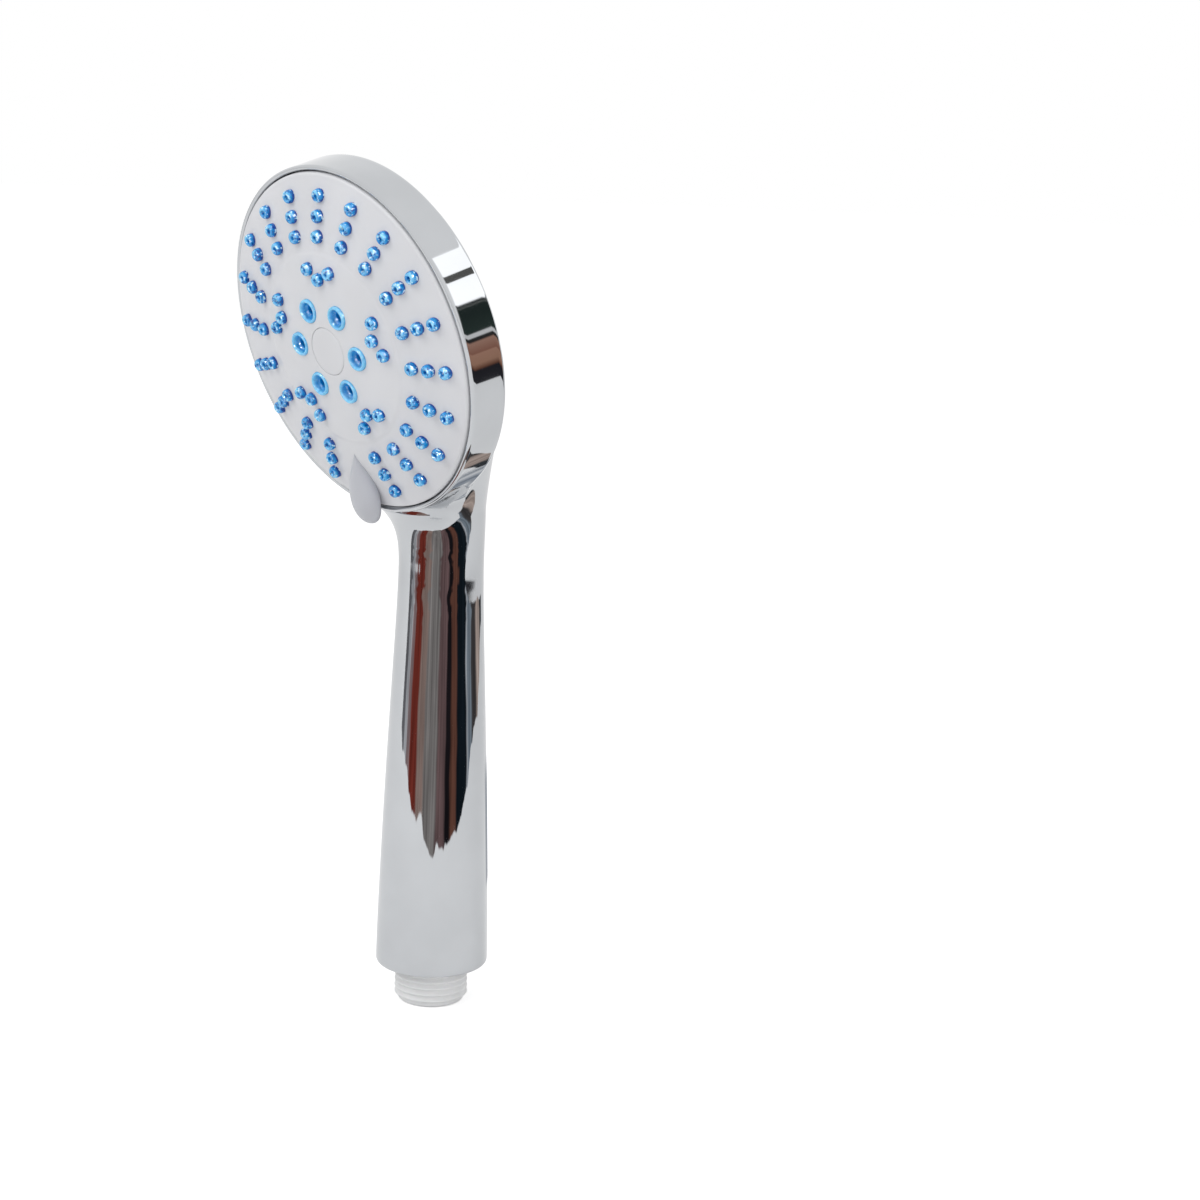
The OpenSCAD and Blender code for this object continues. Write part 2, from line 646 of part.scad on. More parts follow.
// Thumb lever: a leaf that stands out of the face and reaches over the rim
module lever() difference() {
    hull() {
        translate([lever_root_r + 0.7, 0, dome_z(lever_root_r)]) sphere(r = 0.7, $fn = 16);
        translate([lever_tip_r - lever_w * 0.68, 0, lever_h - lever_w * 0.4]) scale([1, 1, 0.8]) sphere(r = lever_w / 2, $fn = 32);
        translate([lever_tip_r - lever_w * 0.36, 0, lever_h * 0.42]) scale([1, 1, 0.9]) sphere(r = lever_w * 0.36, $fn = 32);
    }
    rod(lever_tip_r + 1, -lever_w, lip_top + rim_gap, fine);
}

module nozzle(r) {
    top = dome_z(r) + r / dome_r * nozzle_r;
    rod(nozzle_r, dome_z(r) - face_wall - mat_t / 2, top, small_fn);
    translate([0, 0, top - eps]) cylinder(h = nozzle_h, r1 = nozzle_r, r2 = nozzle_tip_d / 2, $fn = small_fn);
}

module mat_web(r_out, r_in) difference() {
    dome_solid(face_wall + fit_gap / 2, r_out, floor_at);
    dome_solid(face_wall + mat_t, r_out + 1, floor_at - 1);
    rod(r_in, floor_at - 2, dome_rise + 1, fine);
}

// Silicone mat with the rows of rain nozzles
module rain_mat() color([0.1, 0.5, 0.85]) at_face() difference() {
    union() {
        mat_web(skirt_in - fit_gap, rib_outer_r + rib_w / 2 + fit_gap);
        for (p = rain_places) polar(p[0], p[1]) nozzle(p[0]);
    }
    for (p = rain_places) polar(p[0], p[1]) rod(nozzle_bore / 2, -floor_z - 1, dome_rise + nozzle_h + 1, small_fn);
}

// Silicone mat with the groups of mist nozzles
module mist_mat() color([0.1, 0.5, 0.85]) at_face() difference() {
    union() {
        mat_web(rib_outer_r - rib_w / 2 - fit_gap, rib_inner_r + rib_w / 2 + fit_gap);
        for (p = mist_places) polar(p[0], p[1]) nozzle(p[0]);
    }
    for (p = mist_places) polar(p[0], p[1]) rod(nozzle_bore / 2, -floor_z - 1, dome_rise + nozzle_h + 1, small_fn);
}

// Ring of wide massage jets
module massage_jets() color([0.25, 0.65, 0.95]) at_face() difference() {
    union() {
        mat_web(rib_inner_r - rib_w / 2 - fit_gap, hub_r + fit_gap);
        for (p = jet_places) polar(p[0], p[1]) rod(jet_d / 2, dome_z(p[0]) - face_wall - mat_t / 2, dome_z(p[0]) + jet_h);
    }
    for (p = jet_places) polar(p[0], p[1]) rod(jet_bore / 2, 0, dome_rise + jet_h + 1);
}

// Washer under the head of the centre screw
module centre_washer() color([0.8, 0.8, 0.82]) at_head()
    tube(screw_head_r, centre_screw_d / 2 + fit_gap, hub_seat, hub_seat + washer_t, small_fn);

// Screw that holds the face on its post
module centre_screw() color([0.75, 0.75, 0.77]) at_head() difference() {
    union() {
        rod(screw_head_r - 0.2, hub_seat + washer_t, hub_seat + washer_t + screw_head_t);
        rod(centre_screw_d / 2, hub_seat + washer_t - centre_screw_l, hub_seat + washer_t + eps);
    }
    cross_slot(hub_seat + washer_t + screw_head_t, 1.8);
}

// Cap in the middle of the face
module centre_cap() color([0.8, 0.81, 0.83]) at_face() dome_solid(0, cap_r, cap_seat);

body_shell();
waterway_tube();
inlet_screen();
flow_disc();
tube_rings();
manifold();
distributor();
plate_screws();
port_seal();
seal_spring();
detent_pin();
detent_spring();
hub_ring();
valve_disc();
chamber_plate();
swirl_disc();
turbine();
face_plate();
rain_mat();
mist_mat();
massage_jets();
centre_washer();
centre_screw();
centre_cap();
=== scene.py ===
import json
from math import atan2, cos, pi, radians, sin, sqrt, tan

import bmesh
import bpy
import numpy as np
from mathutils import Matrix, Vector


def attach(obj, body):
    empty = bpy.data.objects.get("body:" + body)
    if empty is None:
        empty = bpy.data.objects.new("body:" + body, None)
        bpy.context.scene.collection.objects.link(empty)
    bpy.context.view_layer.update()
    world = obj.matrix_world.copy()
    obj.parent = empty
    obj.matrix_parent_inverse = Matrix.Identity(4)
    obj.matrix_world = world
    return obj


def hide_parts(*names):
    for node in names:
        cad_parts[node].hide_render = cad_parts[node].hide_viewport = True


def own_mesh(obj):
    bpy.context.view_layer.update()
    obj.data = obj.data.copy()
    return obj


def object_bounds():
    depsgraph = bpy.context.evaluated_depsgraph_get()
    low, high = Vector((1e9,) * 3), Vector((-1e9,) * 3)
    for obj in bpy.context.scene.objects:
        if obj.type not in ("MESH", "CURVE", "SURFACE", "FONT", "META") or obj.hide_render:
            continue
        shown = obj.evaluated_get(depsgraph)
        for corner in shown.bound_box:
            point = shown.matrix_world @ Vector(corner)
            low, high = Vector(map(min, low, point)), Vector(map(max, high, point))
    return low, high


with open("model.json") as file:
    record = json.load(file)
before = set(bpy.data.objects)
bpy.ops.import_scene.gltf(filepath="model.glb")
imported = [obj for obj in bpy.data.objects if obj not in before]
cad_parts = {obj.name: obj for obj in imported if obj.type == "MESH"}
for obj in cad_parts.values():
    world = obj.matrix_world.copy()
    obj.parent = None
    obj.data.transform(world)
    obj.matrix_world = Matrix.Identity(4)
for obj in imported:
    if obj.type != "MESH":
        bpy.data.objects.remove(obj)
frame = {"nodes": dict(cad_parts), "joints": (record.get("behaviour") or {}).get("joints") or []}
CAD_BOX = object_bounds()

bl_info = {
    "name": "Handheld shower head",
    "version": (1, 0, 0),
    "blender": (4, 5, 0),
    "location": "3D View > Sidebar > Shower",
    "description": "Dresses the handheld shower head: chromed shell, spray face, nozzles, inlet and studio",
    "category": "Add Mesh",
}

MM = 0.001  # the meshes are shaped in millimetres
JOINTS = {joint["name"]: joint for joint in frame["joints"]}
SELECTOR = JOINTS["selector_turn"]
FACE_AXIS = Vector(SELECTOR["axis"]).normalized()
HEAD_AT = Vector(SELECTOR["pos_m"]) / MM
TILT = atan2(-FACE_AXIS.z, -FACE_AXIS.y)
HEAD = Matrix.Translation(HEAD_AT) @ Matrix.Rotation(pi / 2 + TILT, 4, "X")  # its z points out of the face


# ---------------------------------------------------------------- settings

def length(name, text, value):
    """Setting in millimetres, shown as a length."""
    return bpy.props.FloatProperty(name=name, description=text, default=value * MM, precision=5,
                                   unit="LENGTH", subtype="DISTANCE")


def angle(name, text, value):
    """Setting in degrees, shown as an angle."""
    return bpy.props.FloatProperty(name=name, description=text, default=radians(value),
                                   unit="ROTATION", subtype="ANGLE")


def colour(name, text, value):
    return bpy.props.FloatVectorProperty(name=name, description=text, default=value, size=3, min=0, max=1,
                                         subtype="COLOR")


def share(name, text, value):
    return bpy.props.FloatProperty(name=name, description=text, default=value, min=0, max=1, subtype="FACTOR")


def power(name, text, value):
    return bpy.props.FloatProperty(name=name, description=text, default=value, min=0, unit="POWER")


def count(name, text, value, least):
    return bpy.props.IntProperty(name=name, description=text, default=value, min=least)


class ShellSettings(bpy.types.PropertyGroup):
    grip_r: length("Grip radius", "Radius of the handle at its foot", 16)
    neck_r: length("Neck radius", "Radius of the handle at its thinnest place", 11.7)
    grip_z: length("Foot height", "Height of the handle's foot above the end of the thread", 11)
    neck_z: length("Neck height", "Height at which the neck starts to widen", 122)
    neck_len: length("Neck length", "Length over which the neck widens into the head", 68)
    foot_round: length("Foot rounding", "Rounding of the handle's lower edge", 1.7)
    collar_r: length("Collar seat", "Radius of the seat of the white collar", 12.1)
    rim_r: length("Rim radius", "Outer radius of the head's rim", 48.2)
    mouth_r: length("Mouth radius", "Radius of the opening that holds the face", 46.8)
    band_h: length("Band height", "Height of the flat band round the head", 11.6)
    back_rise: length("Back rise", "Rise of the domed back behind the band", 12.8)
    lip_top: length("Lip height", "Height of the rounded lip in front of the gap", 0.4)
    wall: length("Wall", "Wall of the chromed moulding", 2.2)
    blend: length("Neck fillet", "Width of the soft transition between neck and head", 12)
    edge_soft: length("Band edge", "Softness of the band's rear edge", 1.6)
    chrome: colour("Chrome", "Colour of the chrome plating", (0.555, 0.57, 0.59))


class FaceSettings(bpy.types.PropertyGroup):
    face_r: length("Face radius", "Radius of the spray face", 46.45)
    dome_rise: length("Dome rise", "Height of the dome in the middle", 8.2)
    dome_r: length("Dome radius", "Radius of the sphere of the dome", 151.43)
    step_r: length("Step radius", "Radius of the faint step in the face", 26.4)
    step_h: length("Step height", "Height of the faint step in the face", 0.16)
    cap_r: length("Cap radius", "Radius of the cap in the middle", 6.5)
    lever_turn: angle("Lever turn", "Turn of the lever away from straight down", -4.7)
    lever_root: length("Lever root", "Distance of the lever's root from the middle", 30.2)
    lever_tip: length("Lever tip", "Distance of the lever's tip from the middle", 51.5)
    lever_w: length("Lever width", "Width of the thumb lever", 11)
    lever_h: length("Lever height", "Height of the thumb lever over the rim's plane", 6.5)
    plastic: colour("Face plastic", "Colour of the satin grey plastic", (0.68, 0.685, 0.71))
    # the lever is the face's grey plastic painted darker: painted shade for its tilt
    lever: colour("Lever plastic", "Colour of the thumb lever", (0.5, 0.51, 0.55))


class NozzleSettings(bpy.types.PropertyGroup):
    row_slots: count("Row places", "Places of the rain rows round the face, one of them the lever's", 20, 12)
    row_r: length("First rain nozzle", "Radius of the innermost rain nozzles", 30.8)
    row_pitch: length("Row pitch", "Distance between the nozzles of a row", 5.2)
    groups: count("Mist groups", "Groups of three mist nozzles", 5, 3)
    group_r: length("Mist radius", "Radius of the outer mist nozzles", 22.3)
    group_drop: length("Mist drop", "Distance of the inner mist nozzle inside the outer ones", 2.6)
    group_half: angle("Mist half angle", "Half angle between the outer mist nozzles", 11.3)
    nozzle_h: length("Nozzle height", "Height of a nozzle over the face", 1.75)
    jets: count("Jets", "Number of massage jets", 6, 3)
    jet_r: length("Jet ring", "Radius of the ring of massage jets", 11.8)
    silicone: colour("Silicone", "Colour of the blue silicone", (0.0, 0.26, 0.66))
    # painted shade: the darker blue in the bores, in the jets' recesses and at the roots stands in for shade
    painted_shade: colour("Deep silicone", "Colour in the bores and at the roots", (0.0, 0.05, 0.3))
    # painted highlight: the paler blue on the rims stands in for light falling on them
    painted_highlight: colour("Pale silicone", "Colour of the thin lit rims", (0.2, 0.6, 0.92))


class InletSettings(bpy.types.PropertyGroup):
    thread_r: length("Thread radius", "Outer radius of the inlet thread", 10.4775)
    pitch: length("Thread pitch", "Pitch of the inlet thread", 1.814)
    depth: length("Thread depth", "Depth of the moulded thread", 0.95)
    bore_r: length("Bore radius", "Radius of the inlet's bore", 7)
    white: colour("White plastic", "Colour of the white inlet", (0.80, 0.805, 0.81))


class StudioSettings(bpy.types.PropertyGroup):
    lens: bpy.props.FloatProperty(name="Lens", description="Focal length in mm", default=76.3, min=20)
    key: power("Key light", "Power of the key light", 5.0)
    fill: power("Fill light", "Power of the fill light and of the top light", 2.5)
    glint: power("Glints", "Power of each small lamp that puts glints on the silicone", 36.0)
    ambient: share("Ambient", "Strength of the room's light on matte surfaces", 0.62)
    floor: colour("Floor", "Colour of the floor", (0.8, 0.8, 0.8))


# ---------------------------------------------------------------- shader expressions

class Socket:
    """A shader socket that can be used in Python expressions."""

    def __init__(self, tree, socket):
        self.tree, self.socket = tree, socket

    def __add__(self, other): return self.tree.math("ADD", self, other)
    def __radd__(self, other): return self.tree.math("ADD", other, self)
    def __sub__(self, other): return self.tree.math("SUBTRACT", self, other)
    def __rsub__(self, other): return self.tree.math("SUBTRACT", other, self)
    def __mul__(self, other): return self.tree.math("MULTIPLY", self, other)
    def __rmul__(self, other): return self.tree.math("MULTIPLY", other, self)
    def __truediv__(self, other): return self.tree.math("DIVIDE", self, other)


def rgba(shade):
    """A colour with its alpha; a socket stays as it is."""
    return shade if isinstance(shade, Socket) else (*shade, 1)


class Tree:
    """The node tree of a material or of the world, built by expressions."""

    def __init__(self, owner):
        owner.use_nodes = True
        self.nodes, self.links = owner.node_tree.nodes, owner.node_tree.links
        self.nodes.clear()

    def node(self, kind, settings=None, *values, out=0, **named):
        """Adds a node with its settings and its inputs, by place or by name; None leaves an input alone."""
        made = self.nodes.new(kind)
        for key, value in (settings or {}).items():
            setattr(made, key, value)
        for key, value in [*enumerate(values), *((k.replace("_", " "), v) for k, v in named.items())]:
            if isinstance(value, Socket):
                self.links.new(value.socket, made.inputs[key])
            elif value is not None:
                made.inputs[key].default_value = value
        return Socket(self, made.outputs[out]) if made.outputs else None

    def math(self, operation, *values):
        return self.node("ShaderNodeMath", {"operation": operation}, *values)

    def vector(self, operation, *values, out=0, **named):
        return self.node("ShaderNodeVectorMath", {"operation": operation}, *values, out=out, **named)

    def place(self):
        return self.node("ShaderNodeTexCoord", out="Object")

    def noise(self, where, scale, detail=3.0, stretch=None):
        if stretch:
            where = self.vector("MULTIPLY", where, stretch)
        return self.node("ShaderNodeTexNoise", None, Vector=where, Scale=scale, Detail=detail)

    def ramp(self, factor, stops):
        """Colours at shares from 0 to 1, with soft borders."""
        made = self.node("ShaderNodeValToRGB", None, factor)
        elements = made.socket.node.color_ramp.elements
        for element, (at, shade) in ((elements[0], stops[0]), (elements[-1], stops[-1])):
            element.position, element.color = at, rgba(shade)
        for at, shade in stops[1:-1]:
            elements.new(at).color = rgba(shade)
        return made

    def mix(self, factor, a, b):
        """Blend of two colours, which a Mix node takes at its seventh and eighth place."""
        return self.node("ShaderNodeMix", {"data_type": "RGBA"}, factor, *[None] * 5, rgba(a), rgba(b), out=2)

    def clamp(self, value, low, high):
        """Share of the way of a value between two limits, eased."""
        return self.node("ShaderNodeMapRange", {"interpolation_type": "SMOOTHSTEP"}, value, low, high)

    def between(self, value, low, high, rise, fall):
        """1 between two limits and 0 outside, with a soft rise and a soft fall inside them."""
        return self.clamp(value - low, 0, rise) * self.clamp(high - value, 0, fall)

    def tone(self, value, shade, low, high):
        """A colour that wavers with a noise between a darker and a paler self."""
        darker, paler = tuple(c * low for c in shade), tuple(min(1, c * high) for c in shade)
        return self.mix(self.clamp(value, 0.3, 0.7), darker, paler)

    def bump(self, height, strength, distance):
        return self.node("ShaderNodeBump", None, Strength=strength, Distance=distance, Height=height)

    def ray(self, *kinds):
        """1 for a ray of one of these kinds, otherwise 0."""
        first, *others = (self.node("ShaderNodeLightPath", out=f"Is {kind} Ray") for kind in kinds)
        for other in others:
            first = self.math("MAXIMUM", first, other)
        return first

    def principled(self, **inputs):
        self.surface(self.node("ShaderNodeBsdfPrincipled", None, **inputs))

    def surface(self, shader, owner="Material"):
        self.node("ShaderNodeOutput" + owner, None, shader)


def material(name):
    made = bpy.data.materials.new(name)
    return made, Tree(made)


def chrome_material(shade):
    """Polished chrome plating with a breath of uneven polish."""
    made, t = material("chrome_plating")
    where = t.place()
    polish = t.noise(where, 60)
    specks = t.noise(where, 900, 2)
    roughness = 0.035 + 0.03 * t.clamp(polish, 0.42, 0.7) + 0.03 * t.clamp(specks, 0.68, 0.75)
    t.principled(Base_Color=t.tone(polish, shade, 0.97, 1.02), Metallic=1.0, Roughness=roughness)
    return made


def satin_material(name, shade):
    """Satin moulded plastic: fine grain and a hardly visible cloudiness."""
    made, t = material(name)
    where = t.place()
    grain = t.noise(where, 2600, 2)
    cloud = t.noise(where, 45, 2)
    roughness = 0.36 + 0.1 * t.clamp(cloud, 0.35, 0.7)
    t.principled(Base_Color=t.tone(cloud, shade, 0.965, 1.02), Roughness=roughness, Specular_IOR_Level=0.45,
                 Coat_Weight=0.15 + 0.1 * cloud, Coat_Roughness=0.3, Normal=t.bump(grain, 0.12, 0.00004))
    return made


def silicone_material(name, n, f, low, high, glint_and_shade_flecks):
    """Glossy blue silicone with painted light: painted shade low down and in hollows, painted highlight
    higher up, and painted glint and shade flecks.
    """
    made, t = material(name)
    base, painted_shade, painted_highlight = n.silicone, n.painted_shade, n.painted_highlight
    where = t.place()
    away = t.vector("DISTANCE", where, tuple(dome_centre(f)), out="Value")
    height = (away - f.dome_r) / MM
    middle = (low + high) / 2
    swirl = t.noise(where, 650, 2)
    # painted shade low over the dome, at the roots and in bores and recesses; painted highlight on the rims
    # from a height on
    body = t.mix(t.clamp(height + 1.2 * (swirl - 0.5), low, middle), painted_shade, base)
    tone = t.mix(t.clamp(height + 1.6 * (swirl - 0.5), middle, high + 0.2), body, painted_highlight)
    # pale flecks are painted glints and dark flecks are painted shade
    glint_shade_noise = t.noise(where, 1150, 1)
    tone = t.mix(glint_and_shade_flecks * t.clamp(glint_shade_noise, 0.61, 0.66), tone, (0.62, 0.87, 0.98))
    tone = t.mix(glint_and_shade_flecks * t.clamp(0.41 - glint_shade_noise, 0, 0.04), tone, painted_shade)
    t.principled(Base_Color=tone, Roughness=0.07 + 0.05 * t.clamp(swirl, 0.4, 0.7), IOR=1.38,
                 Coat_Weight=0.4, Coat_Roughness=0.02, Subsurface_Weight=0.15,
                 Subsurface_Radius=(0.0002, 0.0008, 0.0016), Subsurface_Scale=1.0,
                 Normal=t.bump(t.noise(where, 1000, 2), 0.8, 0.0003))
    return made


def white_material(shade):
    """White, slightly translucent moulded plastic."""
    made, t = material("inlet_plastic")
    where = t.place()
    flow = t.noise(where, 110, 3, (1, 1, 0.35))
    t.principled(Base_Color=t.tone(flow, shade, 0.95, 1.02), Roughness=0.3 + 0.15 * flow, IOR=1.5,
                 Subsurface_Weight=0.25, Subsurface_Radius=(0.002, 0.002, 0.0018), Subsurface_Scale=1.0,
                 Normal=t.bump(t.noise(where, 1800, 2), 0.1, 0.00005))
    return made


def plain_material(name, shade, roughness, metallic=0.0, scale=500.0, stretch=None):
    """Moulded plastic, rubber or turned metal of the inner pieces."""
    made, t = material(name)
    grain = t.noise(t.place(), scale, 3, stretch)
    t.principled(Base_Color=t.tone(grain, shade, 0.9, 1.06), Metallic=metallic,
                 Roughness=roughness + 0.12 * (grain - 0.5), Normal=t.bump(grain, 0.1, 0.00005))
    return made


# ---------------------------------------------------------------- modelling helpers

def eased(u):
    """Soft start and soft end of a share from 0 to 1."""
    return u * u * (3 - 2 * u)


def arc(r, z, radius, angles):
    """Points of a rounding about (r, z), by angles in degrees from outward towards up."""
    return [(r + radius * cos(radians(a)), z + radius * sin(radians(a))) for a in angles]


def ring(r, z):
    """Place of a level circle on the z axis."""
    return Matrix.Translation((0, 0, z)) @ Matrix.Diagonal((r, r, 1, 1))


def turned(r, a, z):
    """Place at a radius, an angle and a height."""
    return Matrix.Rotation(a, 4, "Z") @ Matrix.Translation((r, 0, z))


def swept(profile, start, sweep, steps, merge):
    """Sheet that a line of (radius, height) points sweeps about the z axis."""
    bm = bmesh.new()
    verts = [bm.verts.new((r, 0, z)) for r, z in profile]
    edges = [bm.edges.new(pair) for pair in zip(verts, verts[1:])]
    bmesh.ops.transform(bm, matrix=Matrix.Rotation(start, 4, "Z"), verts=verts)
    bmesh.ops.spin(bm, geom=verts + edges, axis=(0, 0, 1), cent=(0, 0, 0), dvec=(0, 0, 0), angle=sweep,
                   steps=steps, use_merge=merge, use_duplicate=False)
    return bm


def spun(profile, segments=96):
    """Solid turned about the z axis from a profile of (radius, height) points."""
    bm = swept(profile, 0, 2 * pi, segments, True)
    bmesh.ops.remove_doubles(bm, verts=bm.verts, dist=1e-4)
    bmesh.ops.recalc_face_normals(bm, faces=bm.faces)
    return bm


def new_verts(result):
    """Vertices in what a bmesh operator made."""
    return [g for g in result["geom"] if isinstance(g, bmesh.types.BMVert)]


def drawn_out(sections, segments):
    """Solid drawn through sections, each a matrix that places the unit circle."""
    bm = bmesh.new()
    bmesh.ops.create_circle(bm, cap_ends=True, radius=1, segments=segments, matrix=sections[0])
    edges = list(bm.edges)
    for before, after in zip(sections, sections[1:]):
        grown = bmesh.ops.extrude_edge_only(bm, edges=edges)
        verts = new_verts(grown)
        fresh = set(verts)
        edges = [g for g in grown["geom"] if isinstance(g, bmesh.types.BMEdge) and set(g.verts) <= fresh]
        bmesh.ops.transform(bm, matrix=after @ before.inverted(), verts=verts)
    bmesh.ops.contextual_create(bm, geom=edges)
    bmesh.ops.recalc_face_normals(bm, faces=bm.faces)
    return bm


def many(bm, places):
    """Repeats the mesh at each of the places."""
    first_verts = list(bm.verts)
    first = first_verts + list(bm.edges) + list(bm.faces)
    for place in places[1:]:
        bmesh.ops.transform(bm, matrix=place, verts=new_verts(bmesh.ops.duplicate(bm, geom=first)))
    bmesh.ops.transform(bm, matrix=places[0], verts=first_verts)
    return bm


def smoothed(mesh, sharp):
    """Smooth shading, with edges kept that are sharper than an angle in degrees."""
    mesh.shade_smooth()
    mesh.set_sharp_from_angle(angle=radians(sharp))


def into_object(name, bm, at=Matrix.Identity(4), sharp=35.0):
    """A finished mesh as an object at the origin, in metres."""
    bmesh.ops.transform(bm, matrix=Matrix.Scale(MM, 4) @ at, verts=bm.verts)
    mesh = bpy.data.meshes.new(name)
    bm.to_mesh(mesh)
    bm.free()
    smoothed(mesh, sharp)
    made = bpy.data.objects.new(name, mesh)
    bpy.context.scene.collection.objects.link(made)
    return made


def carved(target, tools, operation):
    """Applies a Boolean of each tool to the target, and clears the tools away."""
    for tool in tools:
        cut = target.modifiers.new("cut", "BOOLEAN")
        cut.operation, cut.solver, cut.object = operation, "EXACT", tool
        mesh = bpy.data.meshes.new_from_object(target.evaluated_get(bpy.context.evaluated_depsgraph_get()))
        target.modifiers.clear()
        target.data, old = mesh, target.data
        mesh.name = target.name
        bpy.data.meshes.remove(old)
        bpy.data.objects.remove(tool)
    return target


def finished(made, look, body, slot, *nodes):
    """Gives a piece its finish, its body and the nodes that it stands for."""
    made.data.materials.clear()
    made.data.materials.append(look)
    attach(made, body)
    if nodes:
        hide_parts(*nodes)


def points_of(mesh):
    """Vertices of a mesh as an array, in millimetres."""
    flat = np.zeros(len(mesh.vertices) * 3)
    mesh.vertices.foreach_get("co", flat)
    return flat.reshape(-1, 3) / MM


def moved(points, matrix):
    """Points taken through a matrix."""
    m = np.array(matrix)
    return points @ m[:3, :3].T + m[:3, 3]


def set_normals(mesh, skin, directions):
    """Gives the marked vertices normals along these directions and leaves the others as they are."""
    normals = np.zeros((len(skin), 3))
    normals[skin] = directions / np.linalg.norm(directions, axis=1)[:, None]
    mesh.normals_split_custom_set_from_vertices([tuple(n) for n in normals])


# ---------------------------------------------------------------- the shell's form

def blended(a, b, width, side):
    """The greater (side 1) or the lesser (side -1) of two fields, rounded where they are close."""
    near = np.maximum(width - np.abs(a - b), 0) / width
    return (np.maximum if side > 0 else np.minimum)(a, b) + side * near ** 3 * width / 6


class ShellForm:
    """Sections and implicit form of handle, neck and head, in millimetres."""
    RUN_OUT = 0.6  # how softly the handle's taper ends at the neck
    SPREAD = 27  # what half the neck's width gains up to its end in the head
    SINK = 24  # how far the neck's back draws in at its end
    FRONT_INSET = 1.2  # the neck's front lies this far behind the rim's plane
    FRONT_POWER = 4.2  # how late the neck's front swings out to the rim
    FILLET_AT, FILLET_GROWS = 1.6, 7  # depth where the fillet starts, and over which it reaches its width
    FADE_END, FADE = 0.5, 9  # the fillet fades out this far below the neck's end, and over this length

    def __init__(self, s):
        for key in ShellSettings.__annotations__:
            if key != "chrome":
                setattr(self, key, getattr(s, key) / MM)
        self.ball_r = (self.rim_r ** 2 + self.back_rise ** 2) / (2 * self.back_rise)
        self.ball_z = self.lip_top - self.band_h - self.back_rise + self.ball_r
        self.low_z = HEAD_AT.z - self.rim_r * cos(TILT) - self.lip_top * sin(TILT)
        self.low_y = HEAD_AT.y + self.rim_r * sin(TILT) - self.lip_top * cos(TILT)
        self.from_head = np.array(HEAD.inverted())

    def grip(self, z):
        """Radius of the handle, whose taper runs out softly into the neck."""
        u = np.maximum((z - self.grip_z) / (self.neck_z - self.grip_z), 0)
        taper = (self.grip_r - self.neck_r) * (1 - u ** 1.4)
        return self.neck_r + (taper + np.sqrt(taper ** 2 + (self.RUN_OUT * np.minimum(u, 1) ** 2) ** 2)) / 2

    def up_neck(self, z):
        return np.clip((z - self.neck_z) / self.neck_len, 0, 1)

    def half(self, z):
        return self.grip(z) + self.SPREAD * eased(self.up_neck(z)) ** 1.5

    def rear(self, z):
        return self.grip(z) - self.SINK * self.up_neck(z) ** 3

    def front(self, z):
        run = np.maximum(0, z - self.neck_z) / (self.low_z - self.neck_z)
        plane = HEAD_AT.y - (z - HEAD_AT.z) * tan(TILT) + self.FRONT_INSET
        bulge = (self.low_y + self.FRONT_INSET + self.grip(z)) * run ** self.FRONT_POWER - self.grip(z)
        return np.where(z > self.neck_z, np.maximum(bulge, plane), bulge)

    def section(self, z, inset=0.0):
        """Place of the handle's or the neck's section at a height."""
        a, front, rear = (float(f(np.array(z))) for f in (self.half, self.front, self.rear))
        a, front, rear = a - inset, front + inset, rear - inset
        return Matrix.Translation((0, (front + rear) / 2, z)) @ Matrix.Diagonal((a, (rear - front) / 2, 1, 1))

    def back(self, r, wall, points):
        """Profile of the domed back from a radius to the middle, inside by a wall."""
        ball = self.ball_r - wall
        return [(x, self.ball_z - sqrt(ball ** 2 - x ** 2)) for x in np.linspace(r, 0.0, points)]

    def handle_field(self, p):
        """Roughly the distance from handle and neck."""
        z = p[:, 2]
        a, front, rear = self.half(z), self.front(z), self.rear(z)
        b, y = (rear - front) / 2, p[:, 1] - (front + rear) / 2
        q = np.sqrt((p[:, 0] / a) ** 2 + (y / b) ** 2) + 1e-9
        slope = np.sqrt((p[:, 0] / a ** 2) ** 2 + (y / b ** 2) ** 2) / q + 1e-9
        return (q - 1) / slope

    def head_field(self, p):
        """Distance from the head's band and back, and the height over the rim's plane."""
        h = moved(p, self.from_head)
        side = np.hypot(h[:, 0], h[:, 1]) - self.rim_r
        ball = np.sqrt(h[:, 0] ** 2 + h[:, 1] ** 2 + (h[:, 2] - self.ball_z) ** 2) - self.ball_r
        return blended(side, ball, self.edge_soft, 1), h[:, 2]

    def field(self, p):
        """Roughly the distance from the outer surface, with the fillet between neck and head."""
        head, depth = self.head_field(p)
        below = self.neck_z + self.neck_len - p[:, 2]
        neck = np.maximum(self.handle_field(p), -below)
        fade = eased(np.clip((below - self.FADE_END) / self.FADE, 0, 1))
        width = self.blend * np.clip((-depth - self.FILLET_AT) / self.FILLET_GROWS, 0, 1) * fade + 0.02
        return blended(head, neck, width, -1)

    def gradient(self, p, step=0.02):
        out = np.zeros_like(p)
        for i in range(3):
            d = np.zeros(3)
            d[i] = step
            out[:, i] = (self.field(p + d) - self.field(p - d)) / (2 * step)
        return out

    def settled(self, p, rounds=4):
        """Points moved onto the outer surface."""
        for _ in range(rounds):
            g = self.gradient(p)
            p = p - (self.field(p) / np.maximum((g * g).sum(1), 1e-6))[:, None] * g
        return p

    def near_skin(self, p, reach, behind, above):
        """Marks points close to the outer surface, behind the lip and above the foot's rounding."""
        _, depth = self.head_field(p)
        over_foot = p[:, 2] - self.grip_z - self.foot_round
        return (np.abs(self.field(p)) < reach) & (depth < -behind) & (over_foot > above)


